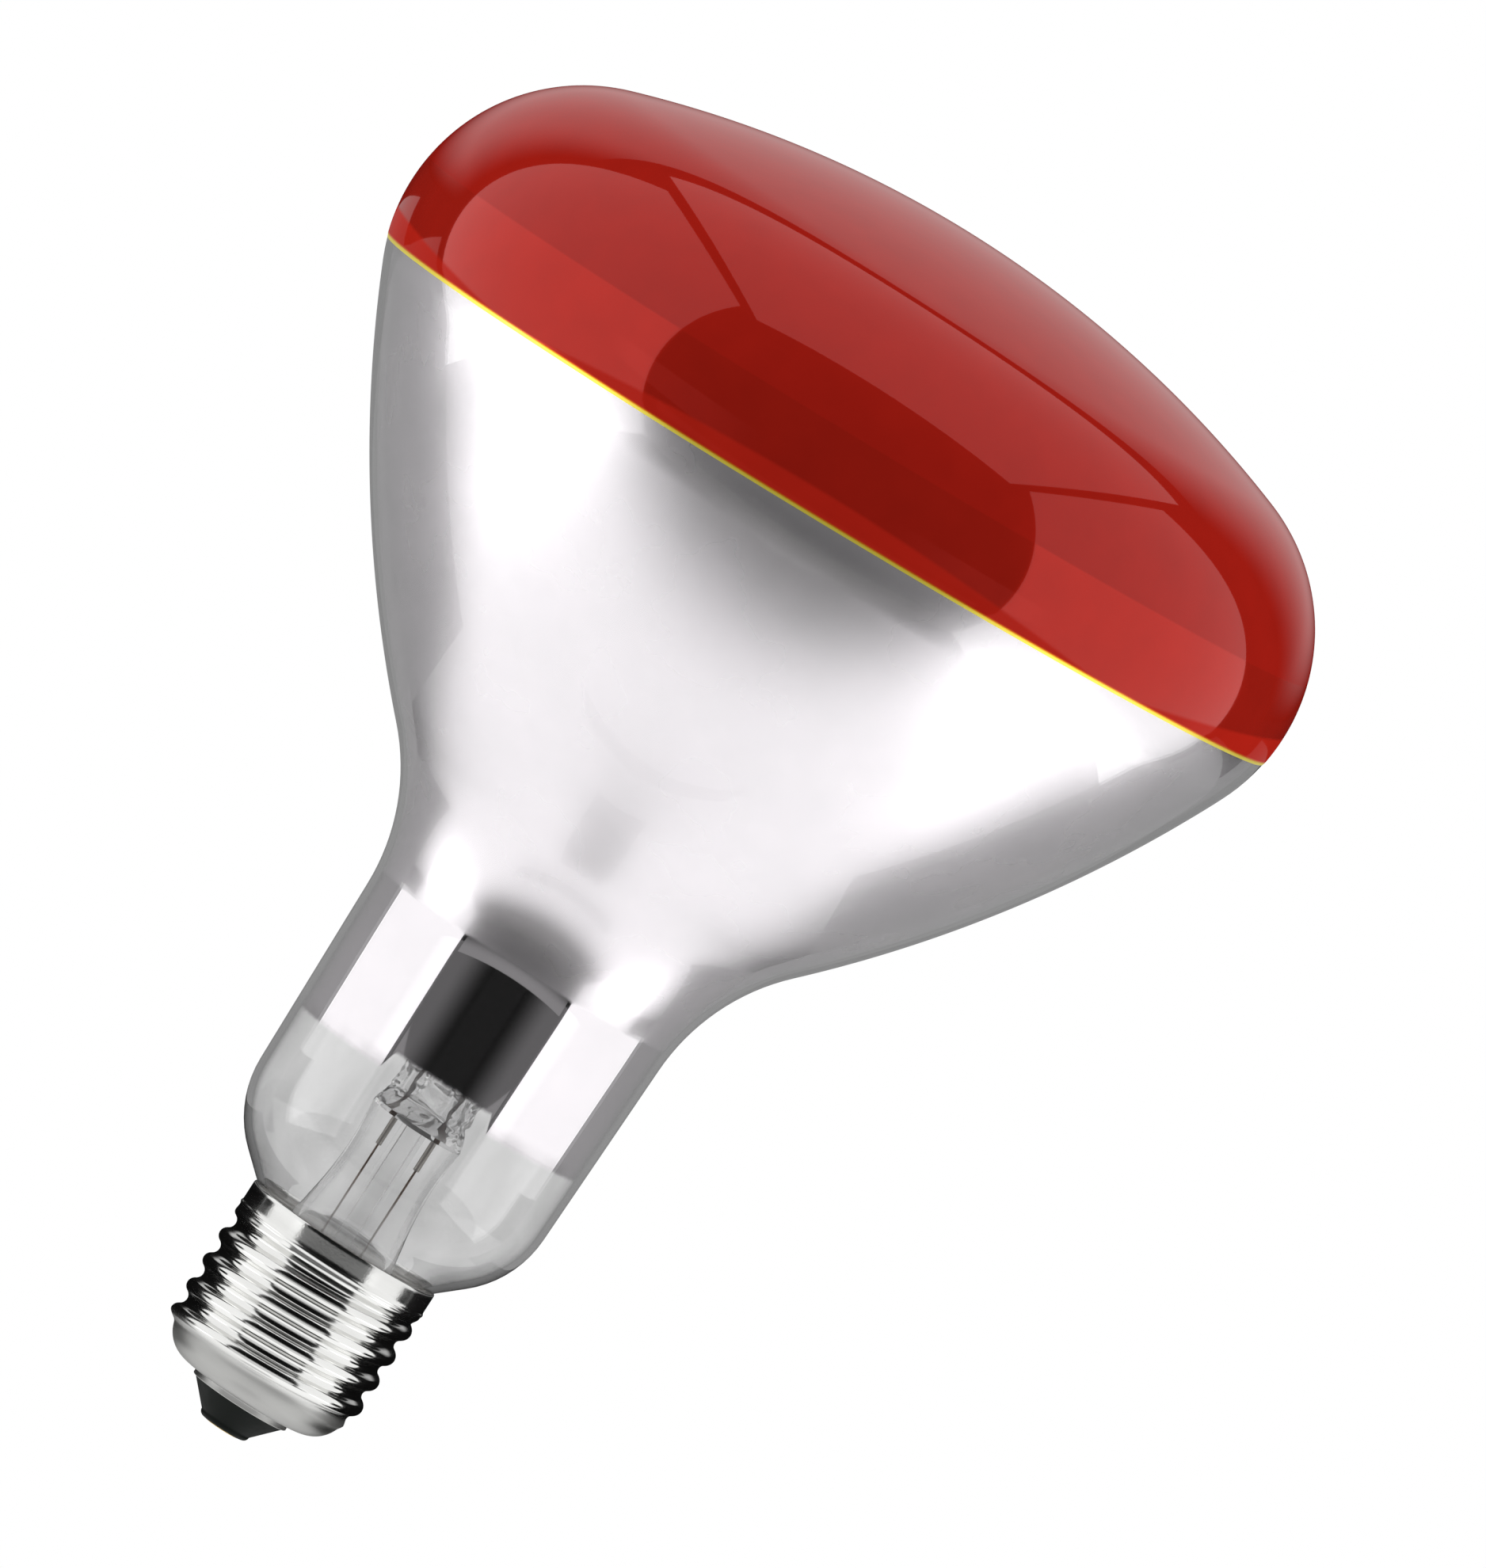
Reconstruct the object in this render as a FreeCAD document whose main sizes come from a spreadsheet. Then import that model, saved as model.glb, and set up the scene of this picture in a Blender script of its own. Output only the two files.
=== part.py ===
import FreeCAD, Part
import math
import os
import re

import Sketcher

# Infrared heat lamp bulb with a screw cap, in millimetres.
# The origin is the tip of the centre contact and +Z runs along the lamp's axis to the red face.
# Heights are measured from that tip. The stem's own X axis lies in the plane of its two leads.

SIZES = {
    # blown glass bulb
    "bulb_radius": 62.5,
    "equator_height": 140.0,
    "shoulder_radius": 24.3,
    "shoulder_sweep": 24.7,
    "dome_radius": 139.4,
    "reflector_radius": 166.7,
    "throat_radius": 27.3,
    "neck_radius": 20.7,
    "neck_height": 53.7,
    "neck_taper": 1.33,
    "foot_radius": 13.7,
    "foot_slope": 41.5,
    "stub_radius": 11.0,
    "glass_foot_height": 19.5,
    "glass_wall": 0.9,
    # coats on the glass
    "coat_thickness": 0.2,
    "paint_drop": 5.7,
    "mirror_height": 49.0,
    "mirror_lap": 10.9,
    # rolled screw shell
    "thread_crest_radius": 13.15,
    "thread_pitch": 3.629,
    "thread_round": 1.025,
    "first_crest_height": 9.14,
    "thread_run_in": 1.7,
    "skirt_radius": 12.93,
    "skirt_height": 24.2,
    "rim_height": 27.6,
    "rim_clearance": 0.05,
    "sheet_thickness": 0.3,
    "bowl_height": 4.75,
    "bowl_round": 4.2,
    "collar_radius": 6.6,
    "collar_height": 3.9,
    # black glass insulator and centre contact
    "insulator_tip_radius": 3.4,
    "insulator_round": 0.7,
    "insulator_inner_height": 7.4,
    "insulator_land": 1.2,
    "contact_radius": 2.4,
    "contact_proud": 0.1,
    "contact_thickness": 0.4,
    "eyelet_radius": 1.3,
    "eyelet_height": 8.4,
    "solder_radius": 0.8,
    "solder_height": 2.0,
    # cement between glass and shell
    "cement_clearance": 0.05,
    "cement_margin": 0.6,
    # glass stem
    "stem_turn": 32.0,
    "stem_wall": 0.8,
    "flare_radius": 6.2,
    "flare_curve": 42.0,
    "flange_thickness": 0.9,
    "pinch_base_height": 43.5,
    "pinch_shoulder_rise": 2.2,
    "pinch_length": 4.0,
    "pinch_half_width": 6.0,
    "pinch_half_thickness": 1.7,
    "exhaust_radius": 1.7,
    "exhaust_wall": 0.7,
    "exhaust_tip_height": 14.0,
    "exhaust_tip_length": 2.1,
    # leads
    "lead_offset": 3.3,
    "inner_lead_radius": 0.35,
    "seal_wire_radius": 0.25,
    "sleeve_radius": 0.385,
    "sleeve_length": 4.3,
    "thin_wire_radius": 0.14,
    "wire_bend": 1.6,
    "lead_bend": 3.2,
    "lead_straight": 8.5,
    "weld_turns": 1.5,
    "side_solder_radius": 0.9,
    # mount of the filament
    "filament_height": 86.0,
    "filament_ring_radius": 14.0,
    "coil_radius": 0.65,
    "arbor_radius": 1.5,
    "button_radius": 2.6,
    "button_thickness": 3.0,
    "support_radius": 0.2,
    "loop_clearance": 0.02,
}
SUPPORT_COUNT = 5

# Sampling of the rolled thread, per turn and per pitch
THREAD_STEPS_ROUND = 36
THREAD_STEPS_PITCH = 12

# Places worked out from the sizes above, each a formula on the same names
DERIVED = {
    "shoulder_centre": "bulb_radius - shoulder_radius",
    "dome_drop": "sqrt((dome_radius - shoulder_radius)^2 - shoulder_centre^2)",
    "dome_centre_height": "equator_height - dome_drop",
    "dome_join_across": "shoulder_centre / (dome_radius - shoulder_radius)",
    "dome_join_up": "dome_drop / (dome_radius - shoulder_radius)",
    "sweep_across": "cos(shoulder_sweep)",
    "sweep_down": "sin(shoulder_sweep)",
    "reflector_centre": "shoulder_centre - (reflector_radius - shoulder_radius) * sweep_across",
    "reflector_centre_height": "equator_height + (reflector_radius - shoulder_radius) * sweep_down",
    "taper_across": "cos(neck_taper)",
    "taper_down": "sin(neck_taper)",
    "neck_distance": "(reflector_centre - neck_radius) * taper_across"
                     " - (reflector_centre_height - neck_height) * taper_down",
    "throat_across": "(throat_radius - neck_distance) / (reflector_radius + throat_radius)",
    "throat_down": "sqrt(1 - throat_across^2)",
    "throat_join_across": "throat_across * taper_across - throat_down * taper_down",
    "throat_join_down": "throat_across * taper_down + throat_down * taper_across",
    "throat_centre": "reflector_centre + (reflector_radius + throat_radius) * throat_join_across",
    "throat_centre_height": "reflector_centre_height"
                            " - (reflector_radius + throat_radius) * throat_join_down",
    "cone_across": "sin(foot_slope)",
    "cone_down": "cos(foot_slope)",
    "rim_glass_radius": "skirt_radius - sheet_thickness - rim_clearance",
    "neck_reach": "neck_radius * taper_across - neck_height * taper_down - foot_radius",
    "cone_reach": "rim_glass_radius * cone_across - rim_height * cone_down - foot_radius",
    "foot_determinant": "cone_across * taper_down - taper_across * cone_down",
    "foot_centre": "(cone_reach * taper_down - neck_reach * cone_down) / foot_determinant",
    "foot_centre_height": "(cone_reach * taper_across - neck_reach * cone_across) / foot_determinant",
    "paint_height": "equator_height - paint_drop",
    "thread_depth": "2 * (thread_round - sqrt(thread_round^2 - (thread_pitch / 4)^2))",
    "thread_root_radius": "thread_crest_radius - thread_depth",
    "bowl_centre": "thread_root_radius - bowl_round",
    "bowl_centre_height": "bowl_height + bowl_round",
    "collar_inner_radius": "collar_radius - sheet_thickness",
    "bowl_floor_height": "bowl_height + sheet_thickness",
    "cement_radius": "thread_root_radius - sheet_thickness - cement_clearance",
    "loop_radius": "coil_radius + support_radius + loop_clearance",
    "lead_loop_radius": "coil_radius + inner_lead_radius + loop_clearance",
    "pinch_floor_height": "pinch_base_height + stem_wall",
    "pinch_shoulder_height": "pinch_floor_height + pinch_shoulder_rise",
    "pinch_top_height": "pinch_shoulder_height + pinch_length",
    "flange_height": "glass_foot_height - flange_thickness",
    "flange_hole_radius": "stub_radius - glass_wall - stem_wall",
}

doc = FreeCAD.newDocument("heat_lamp")
sizes = doc.addObject("Spreadsheet::Sheet", "Sizes")
for row, (alias, value) in enumerate(SIZES.items(), start=1):
    sizes.set(f"A{row}", alias)
    sizes.set(f"B{row}", str(value))
    sizes.setAlias(f"B{row}", alias)

places = doc.addObject("Spreadsheet::Sheet", "Places")


def bind(formula):
    """The formula with every size and place named through its sheet."""
    def named(match):
        word = match.group(0)
        if word in SIZES:
            return f"Sizes.{word}"
        return f"Places.{word}" if word in DERIVED else word
    return re.sub(r"[a-z_]+", named, formula)


for row, (alias, formula) in enumerate(DERIVED.items(), start=1):
    places.set(f"A{row}", alias)
    places.set(f"B{row}", "=" + bind(formula).replace("Places.", ""))
    places.setAlias(f"B{row}", alias)
doc.recompute()


def value_of(formula):
    """The number that a formula on the sizes and places gives."""
    return float(places.evalExpression(bind(formula)))


def tie(item, **formulas):
    """Bind properties of an object to formulas, with __ standing for a dot in the name."""
    for name, formula in formulas.items():
        item.setExpression(name.replace("__", "."), bind(formula))


def origin_plane(body, role):
    """One of a body's own origin planes, found by its role."""
    return next(plane for plane in body.Origin.OriginFeatures if plane.Role == role)


def section(sketch, corners, bulges=None):
    """Draw a closed outline whose corners are formula pairs, radius and height.

    An entry k: (radius, side) in bulges makes the stretch after corner k an arc, which bows to the
    left of its direction for side +1 and to the right for side -1.
    """
    bulges = bulges or {}
    points = [FreeCAD.Vector(value_of(x), value_of(z), 0) for x, z in corners]
    last = len(points)
    starts = []
    for k, start in enumerate(points):
        end = points[(k + 1) % last]
        if k not in bulges:
            starts.append((sketch.addGeometry(Part.LineSegment(start, end)), 1, 2))
            continue
        formula, side = bulges[k]
        radius = value_of(formula)
        chord = end - start
        left = FreeCAD.Vector(-chord.y, chord.x, 0).normalize()
        depth = math.sqrt(max(radius ** 2 - (chord.Length / 2) ** 2, 0.0))
        centre = (start + end) * 0.5 - left * (side * depth)
        circle = Part.Circle(centre, FreeCAD.Vector(0, 0, 1), radius)
        ends = (end, start) if side > 0 else (start, end)
        angles = [math.atan2(point.y - centre.y, point.x - centre.x) for point in ends]
        edge = sketch.addGeometry(Part.ArcOfCircle(circle, *angles))
        starts.append((edge, 2, 1) if side > 0 else (edge, 1, 2))
    for k, (edge, first, second) in enumerate(starts):
        following, its_first, _ = starts[(k + 1) % last]
        sketch.addConstraint(Sketcher.Constraint("Coincident", edge, second, following, its_first))
    for k, (x, z) in enumerate(corners):
        edge, first, _ = starts[k]
        if points[k].x == 0:
            sketch.addConstraint(Sketcher.Constraint("PointOnObject", edge, first, -2))
        else:
            measure(sketch, "DistanceX", (-1, 1, edge, first), points[k].x, f"across_{k}", x)
        measure(sketch, "DistanceY", (-1, 1, edge, first), points[k].y, f"up_{k}", z)
    for k, (formula, _) in bulges.items():
        measure(sketch, "Radius", (starts[k][0],), value_of(formula), f"round_{k}", formula)


def measure(sketch, kind, places_on, number, name, formula):
    """Add one named dimension to a sketch and bind it to its formula."""
    index = sketch.addConstraint(Sketcher.Constraint(kind, *places_on, number))
    sketch.renameConstraint(index, name)
    sketch.setExpression(f"Constraints.{name}", bind(formula))


def turned(label, corners, bulges=None):
    """A body turned about the lamp's axis from one closed half section."""
    body = doc.addObject("PartDesign::Body", label)
    body.Label = label
    sketch = body.newObject("Sketcher::SketchObject", label + "_section")
    sketch.AttachmentSupport = [(origin_plane(body, "XZ_Plane"), "")]
    sketch.MapMode = "FlatFace"
    section(sketch, corners, bulges)
    turn = body.newObject("PartDesign::Revolution", label + "_turn")
    turn.Profile = sketch
    turn.ReferenceAxis = (sketch, ["V_Axis"])
    turn.Angle = 360
    return body


def stand(item, x="0", y="0", z="0"):
    """Turn an object into the stem's own axes and set it at a place given there."""
    item.Placement = FreeCAD.Placement(
        FreeCAD.Vector(0, 0, 0), FreeCAD.Rotation(FreeCAD.Vector(0, 0, -1), value_of("stem_turn"))
    )
    tie(
        item,
        Placement__Rotation__Angle="stem_turn",
        Placement__Base__x=f"({x}) * cos(stem_turn) + ({y}) * sin(stem_turn)",
        Placement__Base__y=f"({y}) * cos(stem_turn) - ({x}) * sin(stem_turn)",
        Placement__Base__z=z,
    )
    return item


def rod(label, radius, x, low, high):
    """A straight round wire of the stem, upright at distance x from the lamp's axis."""
    wire = doc.addObject("Part::Cylinder", label)
    wire.Label = label
    tie(wire, Radius=radius, Height=f"({high}) - ({low})")
    return stand(wire, x=x, z=low)


# Glass bulb: the outside and the inside are the same tangent curves, a wall apart
def foot_stretch(inset):
    """Corners of the stub, the cone above the rim and the round into the neck."""
    stub = f"stub_radius - {inset}"
    corner = f"rim_height + ({inset} + (stub_radius - {inset} - rim_glass_radius) * cone_across) / cone_down"
    reach = f"(foot_radius - {inset})"
    return [
        (stub, "glass_foot_height"),
        (stub, corner),
        (f"foot_centre + {reach} * cone_across", f"foot_centre_height - {reach} * cone_down"),
        (f"foot_centre + {reach} * taper_across", f"foot_centre_height - {reach} * taper_down"),
    ]


def mirror_stretch(inset):
    """Corners where the neck meets the throat, the throat the reflector, the reflector the shoulder."""
    throat = f"(throat_radius + {inset})"
    reflector = f"(reflector_radius - {inset})"
    shoulder = f"(shoulder_radius - {inset})"
    return [
        (f"throat_centre - {throat} * taper_across", f"throat_centre_height + {throat} * taper_down"),
        (
            f"reflector_centre + {reflector} * throat_join_across",
            f"reflector_centre_height - {reflector} * throat_join_down",
        ),
        (f"shoulder_centre + {shoulder} * sweep_across", f"equator_height - {shoulder} * sweep_down"),
    ]


def face_stretch(inset):
    """Corners where the shoulder meets the dome, and the dome the axis."""
    shoulder = f"(shoulder_radius - {inset})"
    return [
        (
            f"shoulder_centre + {shoulder} * dome_join_across",
            f"equator_height + {shoulder} * dome_join_up",
        ),
        ("0", f"dome_centre_height + dome_radius - {inset}"),
    ]


def bulb_rounds(first, inset, side):
    """The arcs of throat, reflector, shoulder and dome, from the stretch numbered first."""
    return {
        first: (f"throat_radius + {inset}", -side),
        first + 1: (f"reflector_radius - {inset}", side),
        first + 2: (f"shoulder_radius - {inset}", side),
        first + 3: (f"dome_radius - {inset}", side),
    }


outside = foot_stretch("0") + mirror_stretch("0") + face_stretch("0")
inside = foot_stretch("glass_wall") + mirror_stretch("glass_wall") + face_stretch("glass_wall")
last_corner = len(outside) + len(inside) - 1
glass_rounds = {2: ("foot_radius", -1), **bulb_rounds(4, "0", -1)}
inner_rounds = {2: ("foot_radius - glass_wall", -1), **bulb_rounds(4, "glass_wall", -1)}
for stretch, (radius, side) in inner_rounds.items():
    glass_rounds[last_corner - stretch - 1] = (radius, -side)
turned("glass_bulb", outside + inside[::-1], glass_rounds)


# Mirror film inside the reflector, from the clear band in the neck to a lap behind the lacquer
def film_edge(inset):
    """Corners of the film on one of its sides, from its low edge to its high one."""
    shoulder = f"(shoulder_radius - {inset})"
    high = "paint_height + mirror_lap"
    low = f"neck_radius + ((mirror_height - neck_height) * taper_down - {inset}) / taper_across"
    lip = f"shoulder_centre + sqrt({shoulder}^2 - (paint_drop - mirror_lap)^2)"
    return [(low, "mirror_height")] + mirror_stretch(inset) + [(lip, high)]


film_outside = film_edge("glass_wall")
film_depth = "(glass_wall + coat_thickness)"
film_inside = film_edge(film_depth)
film_rounds = {}
for stretch in range(1, 4):
    film_rounds[stretch] = bulb_rounds(1, "glass_wall", -1)[stretch]
    radius, side = bulb_rounds(1, film_depth, -1)[stretch]
    film_rounds[2 * len(film_outside) - 2 - stretch] = (radius, -side)
turned("mirror_coat", film_outside + film_inside[::-1], film_rounds)


# Red lacquer over the shoulder and the face
def paint_edge(lift):
    """Corners of the lacquer on one of its sides, from the paint line to the axis."""
    line = f"shoulder_centre + sqrt((shoulder_radius + {lift})^2 - paint_drop^2)"
    return [(line, "paint_height")] + face_stretch(f"(0 - {lift})")


paint_rounds = {
    0: ("shoulder_radius + coat_thickness", -1),
    1: ("dome_radius + coat_thickness", -1),
    3: ("dome_radius", 1),
    4: ("shoulder_radius", 1),
}
turned("red_coat", paint_edge("coat_thickness") + paint_edge("0")[::-1], paint_rounds)


# Screw shell: one rolled sheet, with a helical thread that fades into the bowl and the skirt
def smooth(low, high, place):
    """A smooth rise from 0 at low to 1 at high."""
    share = min(max((place - low) / (high - low), 0.0), 1.0)
    return share * share * (3 - 2 * share)


def half_ring(radius, height, half):
    """Half of a level circle about the lamp's axis, as an edge."""
    circle = Part.Circle(FreeCAD.Vector(0, 0, height), FreeCAD.Vector(0, 0, 1), radius)
    return Part.ArcOfCircle(circle, half * math.pi, (half + 1) * math.pi).toShape()


class RolledShell:
    """The cap's sheet, as points on its outside and a sheet's thickness within it."""

    def __init__(self):
        self.pitch = value_of("thread_pitch")
        self.round = value_of("thread_round")
        self.depth = value_of("thread_depth")
        self.root = value_of("thread_root_radius")
        self.skirt = value_of("skirt_radius")
        self.sheet = value_of("sheet_thickness")
        self.bowl_round = value_of("bowl_round")
        self.bowl_centre = value_of("bowl_centre")
        self.bowl_top = value_of("bowl_centre_height")
        self.crest = value_of("first_crest_height")
        self.run_in = value_of("thread_run_in")
        self.top = value_of("skirt_height")
        self.rim = value_of("rim_height")

    def rise(self, turns):
        """Height of the thread form above its root: tangent arcs, crest at whole turns."""
        away = abs((turns + 0.5) % 1.0 - 0.5) * self.pitch
        if away <= self.pitch / 4:
            return self.depth - self.round + math.sqrt(self.round ** 2 - away ** 2)
        return self.round - math.sqrt(self.round ** 2 - (self.pitch / 2 - away) ** 2)

    def radius(self, angle, height):
        """Radius of the sheet's outside at one angle and height of the thread."""
        fade_in = smooth(self.crest - self.run_in, self.crest, height)
        lift = smooth(self.top - self.run_in, self.top, height)
        base = self.root + (self.skirt - self.root) * lift
        if height < self.bowl_top:
            drop = self.bowl_top - height
            base = self.bowl_centre + math.sqrt(self.bowl_round ** 2 - drop ** 2)
        turns = (height - self.crest) / self.pitch - (angle - math.pi) / (2 * math.pi)
        return base + fade_in * (1 - lift) * self.rise(turns)

    def thread_point(self, angle, height, depth):
        """Radius and height of a point of the thread, moved into the sheet by depth."""
        step = self.pitch / 1000
        slope = (self.radius(angle, height + step) - self.radius(angle, height - step)) / (2 * step)
        tilt = math.hypot(1, slope)
        return self.radius(angle, height) - depth / tilt, height + depth * slope / tilt

    def bowl_point(self, share, depth):
        """Radius and height of a point of the bowl's round, from its floor at 0 to the thread at 1."""
        reach = self.bowl_round - depth
        swing = share * math.acos((self.bowl_top - self.thread_foot()) / self.bowl_round)
        return self.bowl_centre + reach * math.sin(swing), self.bowl_top - reach * math.cos(swing)

    def thread_foot(self):
        """The height where the thread starts to rise from the bowl."""
        return self.crest - self.run_in

    def column(self, angle, depth):
        """The points of one side of the sheet at one angle, from the bowl's floor to the skirt."""
        step = self.pitch / THREAD_STEPS_PITCH
        bowl_rows = math.ceil(self.bowl_round / step)
        thread_rows = math.ceil((self.top - self.thread_foot()) / step)
        rows = [self.bowl_point(k / bowl_rows, depth) for k in range(bowl_rows)]
        rise = (self.top - self.thread_foot()) / thread_rows
        rows += [
            self.thread_point(angle, self.thread_foot() + rise * k, depth) for k in range(thread_rows)
        ]
        rows.append((self.skirt - depth, self.top))
        return [FreeCAD.Vector(r * math.cos(angle), r * math.sin(angle), z) for r, z in rows]

    def rolled_side(self, depth, half):
        """Half a turn of one side of the sheet, with its lowest and its highest edge."""
        angles = [2 * math.pi * k / THREAD_STEPS_ROUND for k in range(THREAD_STEPS_ROUND + 1)]
        grid = [self.column(angle, depth) for angle in angles]
        surface = Part.BSplineSurface()
        surface.interpolate(grid)
        start, end, low, high = surface.bounds()
        middle = surface.parameter(grid[THREAD_STEPS_ROUND // 2][0])[0]
        surface.segment(middle if half else start, end if half else middle, low, high)
        return surface.toShape(), surface.vIso(low).toShape(), surface.vIso(high).toShape()

    def half_faces(self, half):
        """All faces of half a turn of the shell."""
        outside, outer_low, outer_high = self.rolled_side(0, half)
        inside, inner_low, inner_high = self.rolled_side(self.sheet, half)
        up = FreeCAD.Vector(0, 0, self.rim - self.top)
        collar = value_of("collar_radius")
        collar_inner = value_of("collar_inner_radius")
        collar_chain = [
            outer_low,
            half_ring(collar, value_of("bowl_height"), half),
            half_ring(collar, value_of("collar_height"), half),
            half_ring(collar_inner, value_of("collar_height"), half),
            half_ring(collar_inner, value_of("bowl_floor_height"), half),
            inner_low,
        ]
        skirt_chain = [outer_high, outer_high.translated(up), inner_high.translated(up), inner_high]
        faces = [outside, inside]
        for chain in (collar_chain, skirt_chain):
            faces += [Part.makeRuledSurface(a, b) for a, b in zip(chain, chain[1:])]
        return faces

    def solid(self):
        """The whole shell as one solid, sewn from its two half turns."""
        sewn = Part.makeShell(self.half_faces(0) + self.half_faces(1))
        sewn.sewShape()
        solid = Part.makeSolid(sewn)
        if solid.Volume < 0:
            solid.reverse()
        return solid


def finished(label, shape):
    """A sub-part whose shape is set as a whole."""
    item = doc.addObject("Part::Feature", label)
    item.Label = label
    item.Shape = shape
    item.Placement = FreeCAD.Placement()
    return item


finished("cap_shell", RolledShell().solid())

# Black glass that fills the bowl and stands out through the collar
turned(
    "cap_insulator",
    [
        ("eyelet_radius", "contact_thickness"),
        ("contact_radius", "contact_thickness"),
        ("contact_radius", "contact_proud"),
        ("insulator_tip_radius - insulator_round", "contact_proud"),
        ("insulator_tip_radius", "contact_proud + insulator_round"),
        ("collar_inner_radius", "collar_height"),
        ("collar_inner_radius", "bowl_floor_height"),
        ("collar_inner_radius + insulator_land", "bowl_floor_height"),
        ("collar_inner_radius + insulator_land", "insulator_inner_height"),
        ("eyelet_radius", "insulator_inner_height"),
    ],
    {3: ("insulator_round", -1)},
)

# Centre contact: an eyelet with a flat head, and the solder that closes it
turned(
    "centre_contact",
    [
        ("solder_radius", "0"),
        ("contact_radius", "0"),
        ("contact_radius", "contact_thickness"),
        ("eyelet_radius", "contact_thickness"),
        ("eyelet_radius", "eyelet_height"),
        ("solder_radius", "eyelet_height"),
    ],
)
solder = doc.addObject("Part::Cylinder", "centre_solder")
solder.Label = "centre_solder"
tie(solder, Radius="solder_radius", Height="solder_height")

# Cement ring between the glass stub and the shell
turned(
    "cap_cement",
    [
        ("stub_radius", "glass_foot_height"),
        ("cement_radius", "glass_foot_height"),
        ("cement_radius", "skirt_height"),
        ("rim_glass_radius", "skirt_height"),
        ("rim_glass_radius", "rim_height - cement_margin"),
        (
            "rim_glass_radius - cement_margin * cone_down / cone_across",
            "rim_height - cement_margin",
        ),
        ("stub_radius", "rim_height + (stub_radius - rim_glass_radius) * cone_across / cone_down"),
    ],
)

# Glass stem: a trumpet that is sealed to the bulb's foot, flattened to a pinch at its top
trumpet_section = doc.addObject("Sketcher::SketchObject", "trumpet_section")
trumpet_section.Placement = FreeCAD.Placement(
    FreeCAD.Vector(0, 0, 0), FreeCAD.Rotation(FreeCAD.Vector(1, 0, 0), 90)
)
section(
    trumpet_section,
    [
        ("0", "pinch_floor_height"),
        ("0", "pinch_base_height"),
        ("flare_radius - stem_wall", "pinch_base_height"),
        ("flange_hole_radius", "flange_height"),
        ("stub_radius", "flange_height"),
        ("stub_radius", "glass_foot_height"),
        ("stub_radius - glass_wall", "glass_foot_height"),
        ("flare_radius", "pinch_floor_height"),
    ],
    {2: ("flare_curve - stem_wall", -1), 6: ("flare_curve", 1)},
)
trumpet = doc.addObject("Part::Revolution", "trumpet")
trumpet.Source = trumpet_section
trumpet.Axis = FreeCAD.Vector(0, 0, 1)
trumpet.Base = FreeCAD.Vector(0, 0, 0)
trumpet.Angle = 360
trumpet.Solid = True


def lump(kind, name, **formulas):
    """A plain solid that the stem's glass is put together from."""
    solid = doc.addObject(kind, name)
    tie(solid, **formulas)
    return solid


# The shoulder is the tube squeezed between two slopes, and the pinch above it has round ends
tube_end = lump(
    "Part::Cylinder", "tube_end",
    Radius="flare_radius",
    Height="pinch_shoulder_rise",
    Placement__Base__z="pinch_floor_height",
)
squeeze = lump(
    "Part::Wedge", "squeeze",
    Xmin="0 - flare_radius", Xmax="flare_radius", X2min="0 - flare_radius", X2max="flare_radius",
    Ymin="pinch_floor_height", Ymax="pinch_shoulder_height",
    Zmin="0 - flare_radius", Zmax="flare_radius",
    Z2min="0 - pinch_half_thickness", Z2max="pinch_half_thickness",
)
squeeze.Placement = FreeCAD.Placement(
    FreeCAD.Vector(0, 0, 0), FreeCAD.Rotation(FreeCAD.Vector(1, 0, 0), 90)
)
pinch_shoulder = doc.addObject("Part::Common", "pinch_shoulder")
pinch_shoulder.Base = tube_end
pinch_shoulder.Tool = squeeze
pinch_flat = lump(
    "Part::Box", "pinch_flat",
    Length="2 * (pinch_half_width - pinch_half_thickness)",
    Width="2 * pinch_half_thickness",
    Height="pinch_length",
    Placement__Base__x="pinch_half_thickness - pinch_half_width",
    Placement__Base__y="0 - pinch_half_thickness",
    Placement__Base__z="pinch_shoulder_height",
)
stem_lumps = [trumpet, pinch_shoulder, pinch_flat]
seal_bores = []
for way, side in {"near": "1", "far": "0 - 1"}.items():
    stem_lumps.append(
        lump(
            "Part::Cylinder", way + "_pinch_end",
            Radius="pinch_half_thickness",
            Height="pinch_length",
            Placement__Base__x=f"({side}) * (pinch_half_width - pinch_half_thickness)",
            Placement__Base__z="pinch_shoulder_height",
        )
    )
    seal_bores.append(
        lump(
            "Part::Cylinder", way + "_seal_bore",
            Radius="seal_wire_radius",
            Height="pinch_top_height - pinch_base_height",
            Placement__Base__x=f"({side}) * lead_offset",
            Placement__Base__z="pinch_base_height",
        )
    )
stem_glass = doc.addObject("Part::MultiFuse", "stem_glass")
stem_glass.Shapes = stem_lumps
both_bores = doc.addObject("Part::MultiFuse", "both_bores")
both_bores.Shapes = seal_bores
stem_flare = doc.addObject("Part::Cut", "stem_flare")
stem_flare.Label = "stem_flare"
stem_flare.Base = stem_glass
stem_flare.Tool = both_bores
stand(stem_flare)

# Pumping tube inside the trumpet, drawn to a closed tip
turned(
    "exhaust_tube",
    [
        ("0", "exhaust_tip_height"),
        ("exhaust_radius - exhaust_wall", "exhaust_tip_height + exhaust_wall"),
        ("exhaust_radius", "exhaust_tip_height + exhaust_tip_length"),
        ("exhaust_radius", "pinch_base_height"),
        ("exhaust_radius - exhaust_wall", "pinch_base_height"),
        ("exhaust_radius - exhaust_wall", "exhaust_tip_height + exhaust_tip_length + exhaust_wall"),
        ("0", "exhaust_tip_height + exhaust_tip_length"),
    ],
)

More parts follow.
